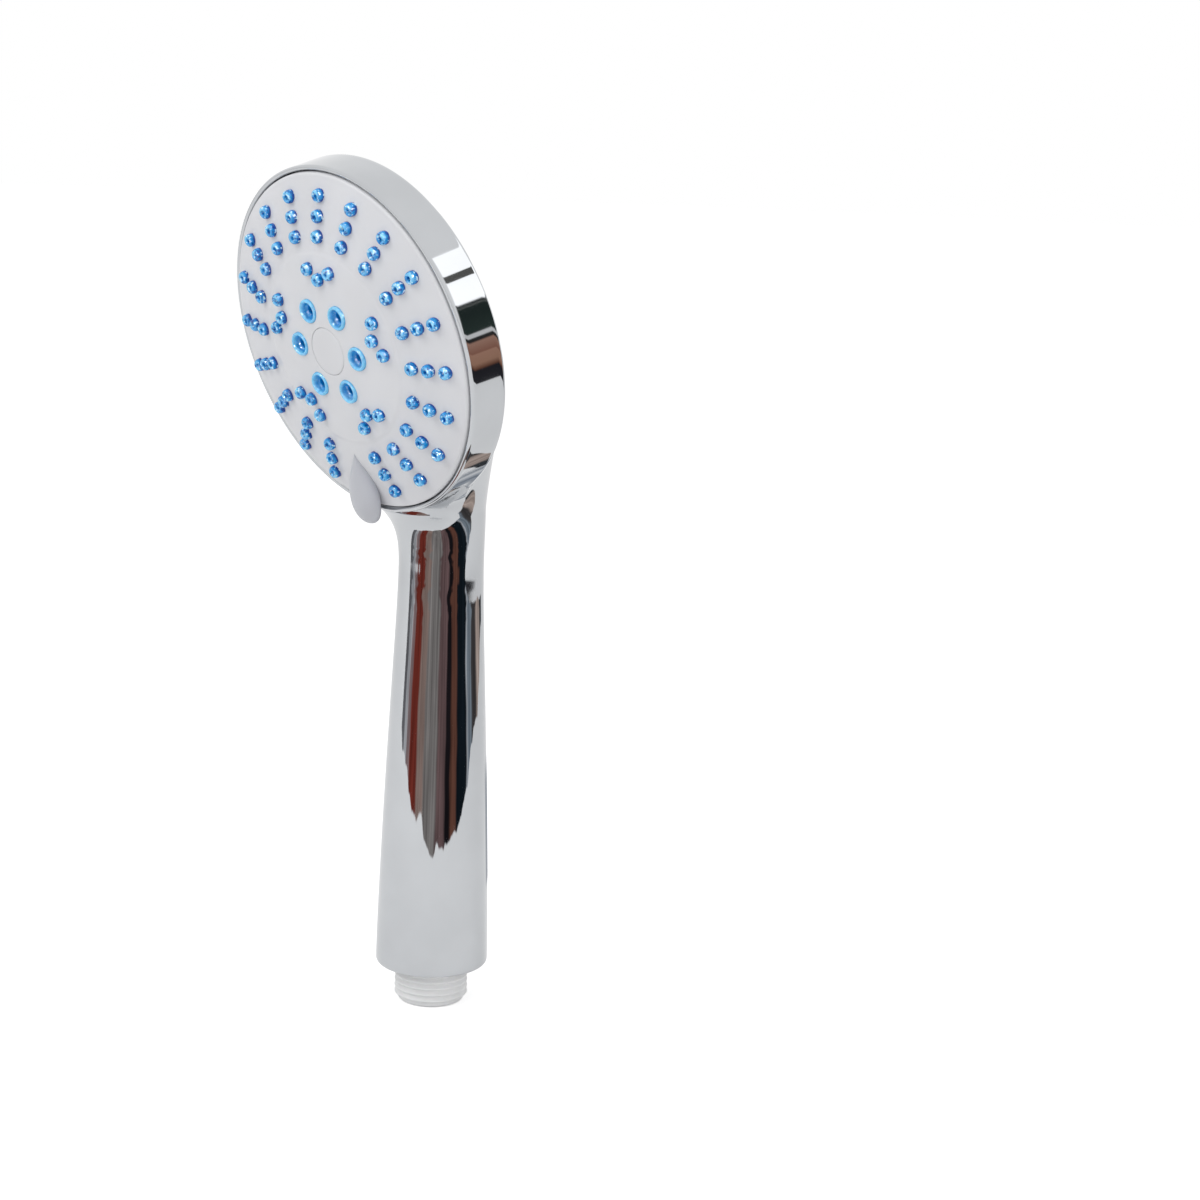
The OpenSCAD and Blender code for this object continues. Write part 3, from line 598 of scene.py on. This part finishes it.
def shell_blank(form):
    """Handle and neck drawn through their sections and joined with the head, without the fillet."""
    foot, edge = form.grip_z, form.foot_round
    seat = [(form.collar_r, foot + 2.7), (form.collar_r, foot + 0.2), (form.collar_r + 0.2, foot),
            (form.grip_r - edge, foot), *arc(form.grip_r - edge, foot + edge, edge, range(-75, 0, 15))]
    heights = [*np.arange(foot + edge, form.neck_z, 3.0),
               *np.arange(form.neck_z, form.neck_z + form.neck_len - 2, 1.6)]
    sections = [ring(r, z) for r, z in seat] + [form.section(z) for z in heights]
    made = into_object("chrome_shell", drawn_out(sections, 128))

    lip, lip_z = 0.7, -0.3
    rim = [(0, lip_z), *arc(form.rim_r - lip, lip_z, lip, range(180, -1, -15))]
    band = [(form.rim_r, z) for z in (-1.2, -2.4, -4, -6, -8, -9.4, -10.2, -10.8)]
    cup = into_object("cup", spun(rim + band + form.back(form.rim_r, 0, 40), 160), HEAD)
    return carved(made, [cup], "UNION")


def refine(mesh, form):
    """Cuts the triangles smaller where neck and head meet, so that the fillet has points to form it."""
    reach, longest = 4, 1.3 * MM
    bm = bmesh.new()
    bm.from_mesh(mesh)
    bmesh.ops.triangulate(bm, faces=bm.faces)
    for _ in range(3):
        spots = np.array([v.co for v in bm.verts]) / MM
        head, depth = form.head_field(spots)
        close = (np.abs(head) < reach) & (np.abs(form.handle_field(spots)) < reach) & (depth < -1)
        wanted = [e for e in bm.edges if all(close[v.index] for v in e.verts) and e.calc_length() > longest]
        bmesh.ops.subdivide_edges(bm, edges=wanted, cuts=1)
        bmesh.ops.triangulate(bm, faces=[f for f in bm.faces if len(f.verts) > 3])
        bm.verts.index_update()
    bm.to_mesh(mesh)
    bm.free()


def draw_onto(mesh, form):
    """Moves the outer surface onto the form, which has the fillet."""
    spots = points_of(mesh)
    outer = form.near_skin(spots, 4, 1.3, 0.5)
    spots[outer] = form.settled(spots[outer])
    mesh.vertices.foreach_set("co", (spots * MM).ravel())
    mesh.update()


def hollow_out(made, form):
    """Opens the room behind the face, the handle's bore and the hole for the tube."""
    inner_r, foot, tube_r = form.rim_r - form.wall, form.grip_z, 6.6
    back = form.back(inner_r, form.wall, 24)
    mouth = [(0, 3), (form.mouth_r, 3), (form.mouth_r, -6.2)]
    room = mouth + [(inner_r, -6.3), (inner_r, back[0][1] + 0.2), *back]
    bore = [form.section(z, form.wall) for z in np.arange(foot + 5, form.neck_z + 40, 5.0)]
    tube = [ring(tube_r, foot), ring(tube_r, foot + 8)]
    carved(made, [into_object("room", spun(room, 128), HEAD), into_object("bore", drawn_out(bore, 64)),
                  into_object("tube", drawn_out(tube, 48))], "DIFFERENCE")


def face_place(f, turn=0.0):
    """Place of the spray face, with the turn of its lever."""
    return HEAD @ Matrix.Rotation(f.lever_turn + turn, 4, "Z")


def dome_centre(f):
    """Middle of the dome's sphere, in metres."""
    return (face_place(f) @ Vector((0, 0, (f.dome_rise - f.dome_r) / MM))) * MM


def dome(f, r):
    """Height of the spray face at a radius, with its faint step."""
    step_w = 1.4
    down = min(1.0, max(0.0, (r - (f.step_r / MM - step_w / 2)) / step_w))
    ball = f.dome_r / MM
    return f.dome_rise / MM - ball + sqrt(ball * ball - r * r) - f.step_h / MM * eased(down)


def jet_places(f, n, height=None):
    """Places of the massage jets, on the dome or at a height."""
    r = n.jet_r / MM
    z = dome(f, r) if height is None else height
    return [turned(r, k * 2 * pi / n.jets, z) for k in range(n.jets)]


def leaf(f, t):
    """Section of the thumb lever at a share of its length, as a matrix that places the unit circle."""
    root, tip, half, high = (v / MM for v in (f.lever_root, f.lever_tip, f.lever_w / 2, f.lever_h))
    widest, clear, least = 0.62, 0.85, 0.02  # share of its widest place, air under it, thinnest end
    end_top, end_rise, sunk = 3.0, 2.1, 2.5  # height of the tip, rise of its underside, depth in the face
    r = root + (tip - root) * t
    if t < widest:
        grown = sin(pi / 2 * t / widest)
        width = half * grown ** 1.1
        upper = dome(f, root) + (high - dome(f, root)) * grown
        lower = max(clear, dome(f, r) - sunk)
    else:
        u = (t - widest) / (1 - widest)
        width = half * sqrt(1 - u ** 2.5)
        upper = high - (high - end_top) * (1 - sqrt(1 - u ** 2.6))
        lower = clear + end_rise * (1 - sqrt(1 - u ** 4))
    size = Matrix.Diagonal((max(least, (upper - lower) / 2), max(least, width), 1, 1))
    return Matrix.Translation((r, 0, (upper + lower) / 2)) @ Matrix.Rotation(pi / 2, 4, "Y") @ size


# ---------------------------------------------------------------- operators

class SHOWER_OT_shell(bpy.types.Operator):
    """Chromed shell: handle, neck and head in one moulding, with the rounded lip"""
    bl_idname = "shower.shell"
    bl_label = "Chromed shell"

    def execute(self, context):
        s = context.scene.shower_shell
        form = ShellForm(s)
        made = shell_blank(form)
        refine(made.data, form)
        draw_onto(made.data, form)
        hollow_out(made, form)
        smoothed(made.data, 32)
        spots = points_of(made.data)
        skin = form.near_skin(spots, 0.02, 1.1, 0.4)
        set_normals(made.data, skin, form.gradient(spots[skin]))
        finished(made, chrome_material(tuple(s.chrome)), "body", "chrome", "body_shell")
        return {"FINISHED"}


class SHOWER_OT_face(bpy.types.Operator):
    """Domed spray face with its rounded edge and the seats of jets and cap, and the cap"""
    bl_idname = "shower.face"
    bl_label = "Spray face"

    def execute(self, context):
        f, n = context.scene.shower_face, context.scene.shower_nozzles
        at = face_place(f)
        r_out, cap, edge = f.face_r / MM, f.cap_r / MM, 0.9
        top, cap_z, seat_z = dome(f, r_out - edge), dome(f, cap), 6.35
        skirt_r, skirt_z = r_out - 1.7, -3.6

        profile = [(skirt_r, skirt_z), (r_out, skirt_z), (r_out, top - edge - 0.05)]
        profile += arc(r_out - edge, top - edge, edge, (18, 36, 54, 72))
        for outer, inner, points in ((r_out - edge, 27.4, 24), (27.1, 25.7, 9), (25, cap + 0.35, 24)):
            profile += [(r, dome(f, r)) for r in np.linspace(outer, inner, points)]
        profile += [(cap + 0.2, cap_z - 0.03), (cap + 0.1, cap_z - 0.14), (cap + 0.1, seat_z), (0, seat_z)]
        profile += [(0, 2.4), (20, 1.4), (skirt_r, -0.4), (skirt_r, skirt_z)]  # the underside
        made = into_object("face_shell", spun(profile, 144), at, 30)
        drill, drill_r = bmesh.new(), 3.35
        bmesh.ops.create_cone(drill, cap_ends=True, segments=48, radius1=drill_r, radius2=drill_r, depth=6)
        carved(made, [into_object("drill", many(drill, jet_places(f, n, 8)), at)], "DIFFERENCE")
        smoothed(made.data, 30)

        # the dome keeps its true normals round the seats
        spots = points_of(made.data)
        local = moved(spots, at.inverted())
        away = np.hypot(local[:, 0], local[:, 1])
        heights = np.array([dome(f, min(r, r_out)) for r in away])
        inside = (away < r_out - edge - 0.01) & (away > cap + 0.36)
        skin = inside & (np.abs(local[:, 2] - heights) < 0.01) & (np.abs(away - f.step_r / MM) > 0.8)
        set_normals(made.data, skin, spots[skin] - np.array(dome_centre(f)) / MM)
        look = satin_material("face_plastic", tuple(f.plastic))
        finished(made, look, "face", "grey_plastic", "face_plate")

        disc = [(0, dome(f, 0)), *((r, dome(f, r)) for r in np.linspace(0.8, cap - 0.35, 7))]
        disc += [(cap - 0.12, cap_z - 0.03), (cap, cap_z - 0.16), (cap, cap_z - 1.4), (0, cap_z - 1.4)]
        finished(into_object("face_cap", spun(disc), at, 40), look, "face", "grey_plastic", "centre_cap")
        return {"FINISHED"}


class SHOWER_OT_lever(bpy.types.Operator):
    """Thumb lever: a leaf that grows out of the face and reaches over the rim"""
    bl_idname = "shower.lever"
    bl_label = "Thumb lever"

    def execute(self, context):
        f = context.scene.shower_face
        shares = [0.004, 0.02, 0.05, *np.linspace(0.09, 0.9, 28),
                  0.925, 0.945, 0.962, 0.976, 0.987, 0.994, 0.998, 0.9998]
        solid = drawn_out([leaf(f, t) for t in shares], 56)
        made = into_object("thumb_lever", solid, face_place(f, -pi / 2), 60)
        # the lever's plastic is the face's grey painted darker as painted shade for its tilt
        finished(made, satin_material("lever_plastic", tuple(f.lever)), "face", "grey_plastic")
        return {"FINISHED"}


class SHOWER_OT_nozzles(bpy.types.Operator):
    """Rain and mist nozzles of blue silicone"""
    bl_idname = "shower.nozzles"
    bl_label = "Nozzles"

    def execute(self, context):
        f, n = context.scene.shower_face, context.scene.shower_nozzles
        tall = n.nozzle_h / MM
        # the nozzles' blue carries painted shade at roots and bores, a painted highlight on the tips and many
        # painted glint and shade flecks
        look = silicone_material("blue_silicone", n, f, 0.1, tall, 0.85)
        profile = [(1.6, -1.2), (1.8, -0.1), (1.84, 0.2), (1.82, 0.5), (1.74, tall * 0.6), (1.6, tall * 0.84),
                   (1.38, tall * 0.96), (1.08, tall), (0.8, tall - 0.08), (0.62, tall - 0.3),
                   (0.5, tall - 1.0), (0, tall - 1.1)]
        rows = [-pi / 2 + i * 2 * pi / n.row_slots for i in range(1, n.row_slots)]
        rain = [(n.row_r / MM + k * n.row_pitch / MM, a) for a in rows for k in range(3)]
        first, outer, inner = radians(18), n.group_r / MM, (n.group_r - n.group_drop) / MM
        mist = []
        for g in range(n.groups):
            a = first + g * 2 * pi / n.groups
            mist += [(outer, a - n.group_half), (outer, a + n.group_half), (inner, a)]
        for name, node, spots in (("rain_nozzles", "rain_mat", rain), ("mist_nozzles", "mist_mat", mist)):
            places = [turned(r, a, dome(f, r)) for r, a in spots]
            made = into_object(name, many(spun(profile, 24), places), face_place(f), 50)
            finished(made, look, "face", "blue_silicone", node)
        return {"FINISHED"}


class SHOWER_OT_jets(bpy.types.Operator):
    """Massage jets: wide blue inserts with a stepped recess"""
    bl_idname = "shower.jets"
    bl_label = "Massage jets"

    def execute(self, context):
        f, n = context.scene.shower_face, context.scene.shower_nozzles
        # the jets' blue is painted darker deep in the recess as painted shade, with few painted glint and
        # shade flecks
        look = silicone_material("jet_silicone", n, f, -2.6, 0.5, 0.15)
        profile = [(3.25, -2.2), (3.28, 0.2), (3.2, 0.45), (3.02, 0.62), (2.8, 0.68), (2.6, 0.62),
                   (2.42, 0.4), (2.3, 0.05), (2.2, -0.5), (2.05, -0.8), (1.8, -0.95), (1.62, -1.0),
                   (1.5, -1.2), (1.42, -2.4), (0, -2.5)]
        made = into_object("massage_inserts", many(spun(profile, 48), jet_places(f, n)), face_place(f), 50)
        finished(made, look, "face", "blue_silicone", "massage_jets")
        return {"FINISHED"}


class SHOWER_OT_inlet(bpy.types.Operator):
    """White inlet nipple with its moulded thread, collar and tube"""
    bl_idname = "shower.inlet"
    bl_label = "Inlet"

    def execute(self, context):
        s, i = context.scene.shower_shell, context.scene.shower_inlet
        r, bore, depth, pitch = i.thread_r / MM, i.bore_r / MM, i.depth / MM, i.pitch / MM
        root, foot, nose = r - depth, s.grip_z / MM, 1.3
        collar_r, collar_top, bore_top, tube_r, tube_bore, tube_top = 12.0, foot + 2.6, 12.0, 6.5, 4.3, 143.0
        profile = [(bore, 3.6), (bore, 0.45), (bore + 0.15, 0.12), (bore + 0.45, 0.0), (root - nose, 0.0)]
        profile += arc(root - nose, nose, nose, range(-70, 0, 20))
        first, turns = 1.4, 5
        tooth = ((0.06, 0.0), (0.2, 0.22), (0.34, 0.8), (0.46, 1.0), (0.58, 0.97), (0.7, 0.7), (0.86, 0.12))
        for k in range(turns):  # a tooth's points are shares of the pitch and of the depth
            profile += [(root + depth * out, first + k * pitch + pitch * up) for up, out in tooth]
        profile += [(root, foot - 0.5), (root, foot), (collar_r, foot), (collar_r, collar_top)]
        profile += [(tube_r, collar_top), (tube_r, tube_top), (tube_bore, tube_top), (tube_bore, bore_top)]
        profile += [(bore, bore_top), (bore, 3.6)]
        made = into_object("inlet_nipple", spun(profile), sharp=50)
        finished(made, white_material(tuple(i.white)), "body", "white_plastic", "waterway_tube")
        return {"FINISHED"}


class SHOWER_OT_inner(bpy.types.Operator):
    """Finishes of the inner pieces"""
    bl_idname = "shower.inner"
    bl_label = "Inner pieces"

    def execute(self, context):
        looks = {
            "inner_plastic": plain_material("inner_plastic", (0.72, 0.72, 0.7), 0.4),
            "amber_plastic": plain_material("amber_plastic", (0.78, 0.36, 0.05), 0.3),
            "green_plastic": plain_material("green_plastic", (0.04, 0.21, 0.08), 0.4),
            "stainless": plain_material("stainless_steel", (0.55, 0.56, 0.58), 0.28, 1.0, 900, (1, 1, 6)),
            "black_rubber": plain_material("black_rubber", (0.012, 0.012, 0.013), 0.55, scale=1400),
        }
        slots = {
            "inner_plastic": ["manifold", "distributor", "valve_disc", "chamber_plate", "detent_pin"],
            "amber_plastic": ["swirl_disc", "turbine"],
            "green_plastic": ["flow_disc"],
            "stainless": ["inlet_screen", "plate_screws", "seal_spring", "detent_spring", "centre_washer",
                          "centre_screw"],
            "black_rubber": ["tube_rings", "port_seal", "hub_ring"],
        }
        for slot, nodes in slots.items():
            for node in nodes:
                mesh = frame["nodes"][node].data
                mesh.materials.clear()
                mesh.materials.append(looks[slot])

        # the spring behind the port seal: its reach along the face's axis and the seal's travel are worked
        # out, but nothing makes it give way; it only gets a mesh of its own
        spring = frame["nodes"]["seal_spring"]
        along = [(spring.matrix_world @ v.co).dot(FACE_AXIS) for v in spring.data.vertices]
        low, high = min(along), max(along)
        travel = max(abs(x) for x in JOINTS["port_seal_press"]["range_m"])
        tuple(FACE_AXIS * low)
        1 - travel / (high - low)
        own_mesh(spring)
        return {"FINISHED"}


# ---------------------------------------------------------------- studio

def bearing(t):
    """Bearing about the handle's axis in degrees, and the height in millimetres."""
    split = t.node("ShaderNodeSeparateXYZ", None, t.place()).socket.node
    x, y, z = (Socket(t, out) for out in split.outputs)
    return t.math("ARCTAN2", y, x) * (180 / pi), z / MM


def around(t, az, z, across, along):
    """Streaky noise in bearing and height, about zero."""
    where = t.node("ShaderNodeCombineXYZ", None, az * across, z * along, 0.0)
    return t.noise(where, 1.0, 2.0) - 0.5


def by_bearing(t, az, columns):
    """Columns of colour between bearings, with soft borders."""
    low, high = columns[0][0], columns[-1][1]
    stops = [((side - low) / (high - low), shade) for start, end, shade in columns for side in (start, end)]
    return t.ramp((az - low) / (high - low), stops)


def handle_card(t):
    """Upright streaks that the handle mirrors."""
    az, z = bearing(t)
    az = az + 6.8 * t.math("SINE", (az + 50) * (pi / 360))
    squiggle = 34 * around(t, az, z, 0.06, 0.2) * t.clamp(z, 102, 117)
    shade = by_bearing(t, az + 12 * around(t, az, z, 0.012, 0.03) + squiggle, [
        (-128, -119, (0.16, 0.16, 0.17)), (-117, -111, (0.48, 0.48, 0.5)), (-109, -103, (0.3, 0.21, 0.21)),
        (-100, -85, (0.2, 0.035, 0.024)), (-82, -70, (0.31, 0.22, 0.19)), (-66, -42, (0.25, 0.23, 0.22)),
        (-38, -23, (0.16, 0.1, 0.1)), (-20, -12, (0.012, 0.01, 0.012)), (-8, 2, (0.155, 0.065, 0.045)),
        (6, 27, (0.008, 0.013, 0.018)), (30, 31, (0.5, 0.52, 0.55)), (33, 42, (0.22, 0.26, 0.3)),
        (46, 58, (0.06, 0.055, 0.055)), (63, 78, (0.5, 0.4, 0.35)), (82, 92, (0.04, 0.045, 0.05))])
    streaks = 1 + 1.5 * around(t, az, z, 0.3, 0.012) + 1.2 * around(t, az, z, 0.07, 0.03)
    off = (az + 35) / 90
    lowest = 38 + 34 * (off * off) + 34 * around(t, az, z, 0.035, 0.0) + 8 * around(t, az, z, 0.1, 0.0)
    highest = 122.5 - 12 * t.clamp(az, 8, 44) - 4 * t.clamp(0 - az, 84, 98) + 5 * around(t, az, z, 0.08, 0.0)
    mask = t.between(z, lowest, highest, 1.2, 0.8) * t.between(az, -128, 92, 1, 2)
    return t.vector("SCALE", shade, Scale=streaks), mask


def band_card(t):
    """Blocks that the head's band mirrors: dark at the foot, then copper, black and white above it."""
    az, z = bearing(t)
    wave = z + 9 * around(t, az, z, 0.12, 0.004)
    low, high = 58, 640
    blocks = [
        (low, (0.03, 0.03, 0.035)), (104, (0.02, 0.02, 0.025)), (110, (0.16, 0.07, 0.045)),
        (128, (0.4, 0.22, 0.15)), (160, (0.44, 0.24, 0.17)), (164, (0.3, 0.14, 0.1)),
        (200, (0.42, 0.24, 0.18)), (206, (0.03, 0.03, 0.03)), (216, (0.03, 0.03, 0.03)),
        (219, (0.75, 0.75, 0.75)), (231, (0.75, 0.75, 0.75)), (234, (0.03, 0.045, 0.04)),
        (300, (0.02, 0.03, 0.028)),
        (328, (0.02, 0.03, 0.028)), (331, (0.16, 0.17, 0.16)), (336, (0.03, 0.035, 0.035)),
        (342, (0.02, 0.025, 0.025)), (347, (1, 1, 1)), (high, (1, 1, 1))]
    shade = t.ramp((wave - low) / (high - low), [((at - low) / (high - low), tint) for at, tint in blocks])
    hatch = t.between(z, 452, 494, 5, 5) * t.between(az, 19, 44, 1, 1)
    shade = t.mix(hatch, shade, (0.13, 0.13, 0.125))
    glare = 1 + 0.75 * t.clamp(wave, 344, 349) * (1 - hatch)
    mask = t.between(z, low, high, 3, 8) * t.between(az, 18, 67, 5, 4)
    return t.vector("SCALE", shade, Scale=glare), mask


def neck_card(t):
    """A soft dark patch that the underside of the neck mirrors."""
    az, z = bearing(t)
    out = t.vector("LENGTH", t.place(), out="Value") / MM
    shade = t.ramp(around(t, az, z, 0.2, 0.0) + 0.5, [(0.35, (0.04, 0.07, 0.11)), (0.65, (0.3, 0.34, 0.4))])
    strokes = 0.9 * t.clamp(around(t, az, z, 0.07, 0.0), -0.16, 0.05)
    return shade, strokes * t.between(az, 100, 140, 8, 10) * t.between(out, 112, 310, 13, 60)


def mirror_card(name, build, profile, start, end):
    """A glowing card round the handle's axis that only mirrors see: a profile swept between two bearings."""
    made, t = material(name)
    shade, mask = build(t)
    light = t.node("ShaderNodeEmission", None, Color=shade, Strength=1.0)
    t.surface(t.node("ShaderNodeMixShader", None, mask, t.node("ShaderNodeBsdfTransparent"), light))
    card = into_object(name, swept(profile, radians(start), radians(end - start), 60, False))
    card.data.materials.append(made)
    for kind in ("camera", "diffuse", "shadow", "transmission", "volume_scatter"):
        setattr(card, "visible_" + kind, False)


def add_floor(st):
    """Wide floor that a camera or a mirror sees white and that keeps the shadow."""
    made, t = material("studio_floor")
    matte = t.node("ShaderNodeBsdfDiffuse", None, Color=rgba(st.floor))
    shown, mirrored = 0.53, 0.2  # light added for the camera and for mirrors and glass
    strength = shown * t.ray("Camera") + mirrored * t.ray("Glossy", "Transmission")
    light = t.node("ShaderNodeEmission", None, Color=(1, 1, 1, 1), Strength=strength)
    t.surface(t.node("ShaderNodeAddShader", None, matte, light))
    bm = bmesh.new()
    bmesh.ops.create_circle(bm, cap_ends=True, segments=64, radius=6000)
    floor = into_object("floor", bm)
    floor.data.materials.append(made)


def add_world(scene, st):
    """White room for camera, mirrors and glass, dimmer as a light on matte surfaces."""
    scene.world = bpy.data.worlds.new("studio")
    t = Tree(scene.world)
    seen = t.ray("Camera", "Glossy", "Transmission")
    strength = seen + (1 - seen) * st.ambient
    t.surface(t.node("ShaderNodeBackground", None, Color=(1, 1, 1, 1), Strength=strength), "World")


def lamp(scene, name, kind, place, energy, **settings):
    """Adds a lamp and returns its object."""
    light = bpy.data.lights.new(name, kind)
    light.energy = energy
    for key, value in settings.items():
        setattr(light, key, value)
    made = bpy.data.objects.new(name, light)
    made.location = place
    scene.collection.objects.link(made)
    return made


def add_lamps(scene, st):
    """Soft lamps that mirrors don't see, and small ones that only put glints on the silicone."""
    middle = (CAD_BOX[0] + CAD_BOX[1]) / 2
    for name, place, energy, size in (("key", (-0.35, -1.0, 0.9), st.key, 0.8),
                                      ("fill", (1.0, -0.2, 0.5), st.fill, 0.8),
                                      ("top", (0.1, -0.2, 1.1), st.fill, 0.9)):
        made = lamp(scene, name, "AREA", place, energy, size=size)
        made.rotation_mode = "QUATERNION"
        made.rotation_quaternion = (middle - Vector(place)).to_track_quat("-Z", "Y")
        made.visible_glossy = False

    wet = bpy.data.collections.new("glinting")
    for name in ("rain_nozzles", "mist_nozzles", "massage_inserts"):
        wet.objects.link(bpy.data.objects[name])
    for name, place in (("glint_left", (0.05, -0.75, 0.62)), ("glint_right", (0.65, -0.1, 0.5)),
                        ("glint_high", (0.3, -0.3, 0.85)), ("glint_low", (0.35, -0.7, 0.2))):
        made = lamp(scene, name, "POINT", place, st.glint, shadow_soft_size=0.08)
        made.visible_diffuse = False
        made.light_linking.receiver_collection = wet


def add_camera(scene, st):
    """Camera at its place, turned from facing the handle's axis by yaw, pitch and roll."""
    place = Vector((534.2, -452.3, 254.8)) * MM
    phi, yaw, pitch, roll = (radians(a) for a in (49.7, -3.61, 11.04, 2.14))
    back, right, up = Vector((sin(phi), -cos(phi), 0)), Vector((cos(phi), sin(phi), 0)), Vector((0, 0, 1))
    back, right = back * cos(yaw) + right * sin(yaw), right * cos(yaw) - back * sin(yaw)
    back, up = back * cos(pitch) + up * sin(pitch), up * cos(pitch) - back * sin(pitch)
    right, up = right * cos(roll) + up * sin(roll), up * cos(roll) - right * sin(roll)
    cam = bpy.data.cameras.new("camera")
    cam.lens, cam.sensor_width = st.lens, 36
    cam.clip_start, cam.clip_end = 0.01, 50
    made = bpy.data.objects.new("camera", cam)
    made.matrix_world = Matrix.Translation(place) @ Matrix((right, up, back)).transposed().to_4x4()
    scene.collection.objects.link(made)
    scene.camera = made


class SHOWER_OT_studio(bpy.types.Operator):
    """Floor, soft light, reflection cards and camera"""
    bl_idname = "shower.studio"
    bl_label = "Studio"

    def execute(self, context):
        scene = context.scene
        st = scene.shower_studio
        add_floor(st)
        mirror_card("card_handle", handle_card, [(60, 1), (60, 131)], -128, 90)
        mirror_card("card_band", band_card, [(400, 57), (400, 640)], 18, 78)
        mirror_card("card_neck", neck_card, [(110, 1), (310, 1)], 100, 142)
        add_world(scene, st)
        add_lamps(scene, st)
        add_camera(scene, st)
        scene.view_settings.view_transform = "Standard"
        return {"FINISHED"}


class SHOWER_PT_panel(bpy.types.Panel):
    """Pieces of the shower head"""
    bl_idname = "SHOWER_PT_panel"
    bl_label = "Handheld shower head"
    bl_space_type = "VIEW_3D"
    bl_region_type = "UI"
    bl_category = "Shower"

    def draw(self, context):
        for made in STEPS:
            self.layout.operator(made.bl_idname)


STEPS = (SHOWER_OT_shell, SHOWER_OT_face, SHOWER_OT_lever, SHOWER_OT_nozzles, SHOWER_OT_jets, SHOWER_OT_inlet,
         SHOWER_OT_inner, SHOWER_OT_studio)
SETTINGS = {"shower_shell": ShellSettings, "shower_face": FaceSettings, "shower_nozzles": NozzleSettings,
            "shower_inlet": InletSettings, "shower_studio": StudioSettings}
CLASSES = (*SETTINGS.values(), *STEPS, SHOWER_PT_panel)


def register():
    for made in CLASSES:
        bpy.utils.register_class(made)
    for name, group in SETTINGS.items():
        setattr(bpy.types.Scene, name, bpy.props.PointerProperty(type=group))


def unregister():
    for name in SETTINGS:
        delattr(bpy.types.Scene, name)
    for made in reversed(CLASSES):
        bpy.utils.unregister_class(made)


def main():
    register()
    for step in STEPS:
        getattr(bpy.ops.shower, step.bl_idname.removeprefix("shower."))()


if __name__ == "__main__":
    main()
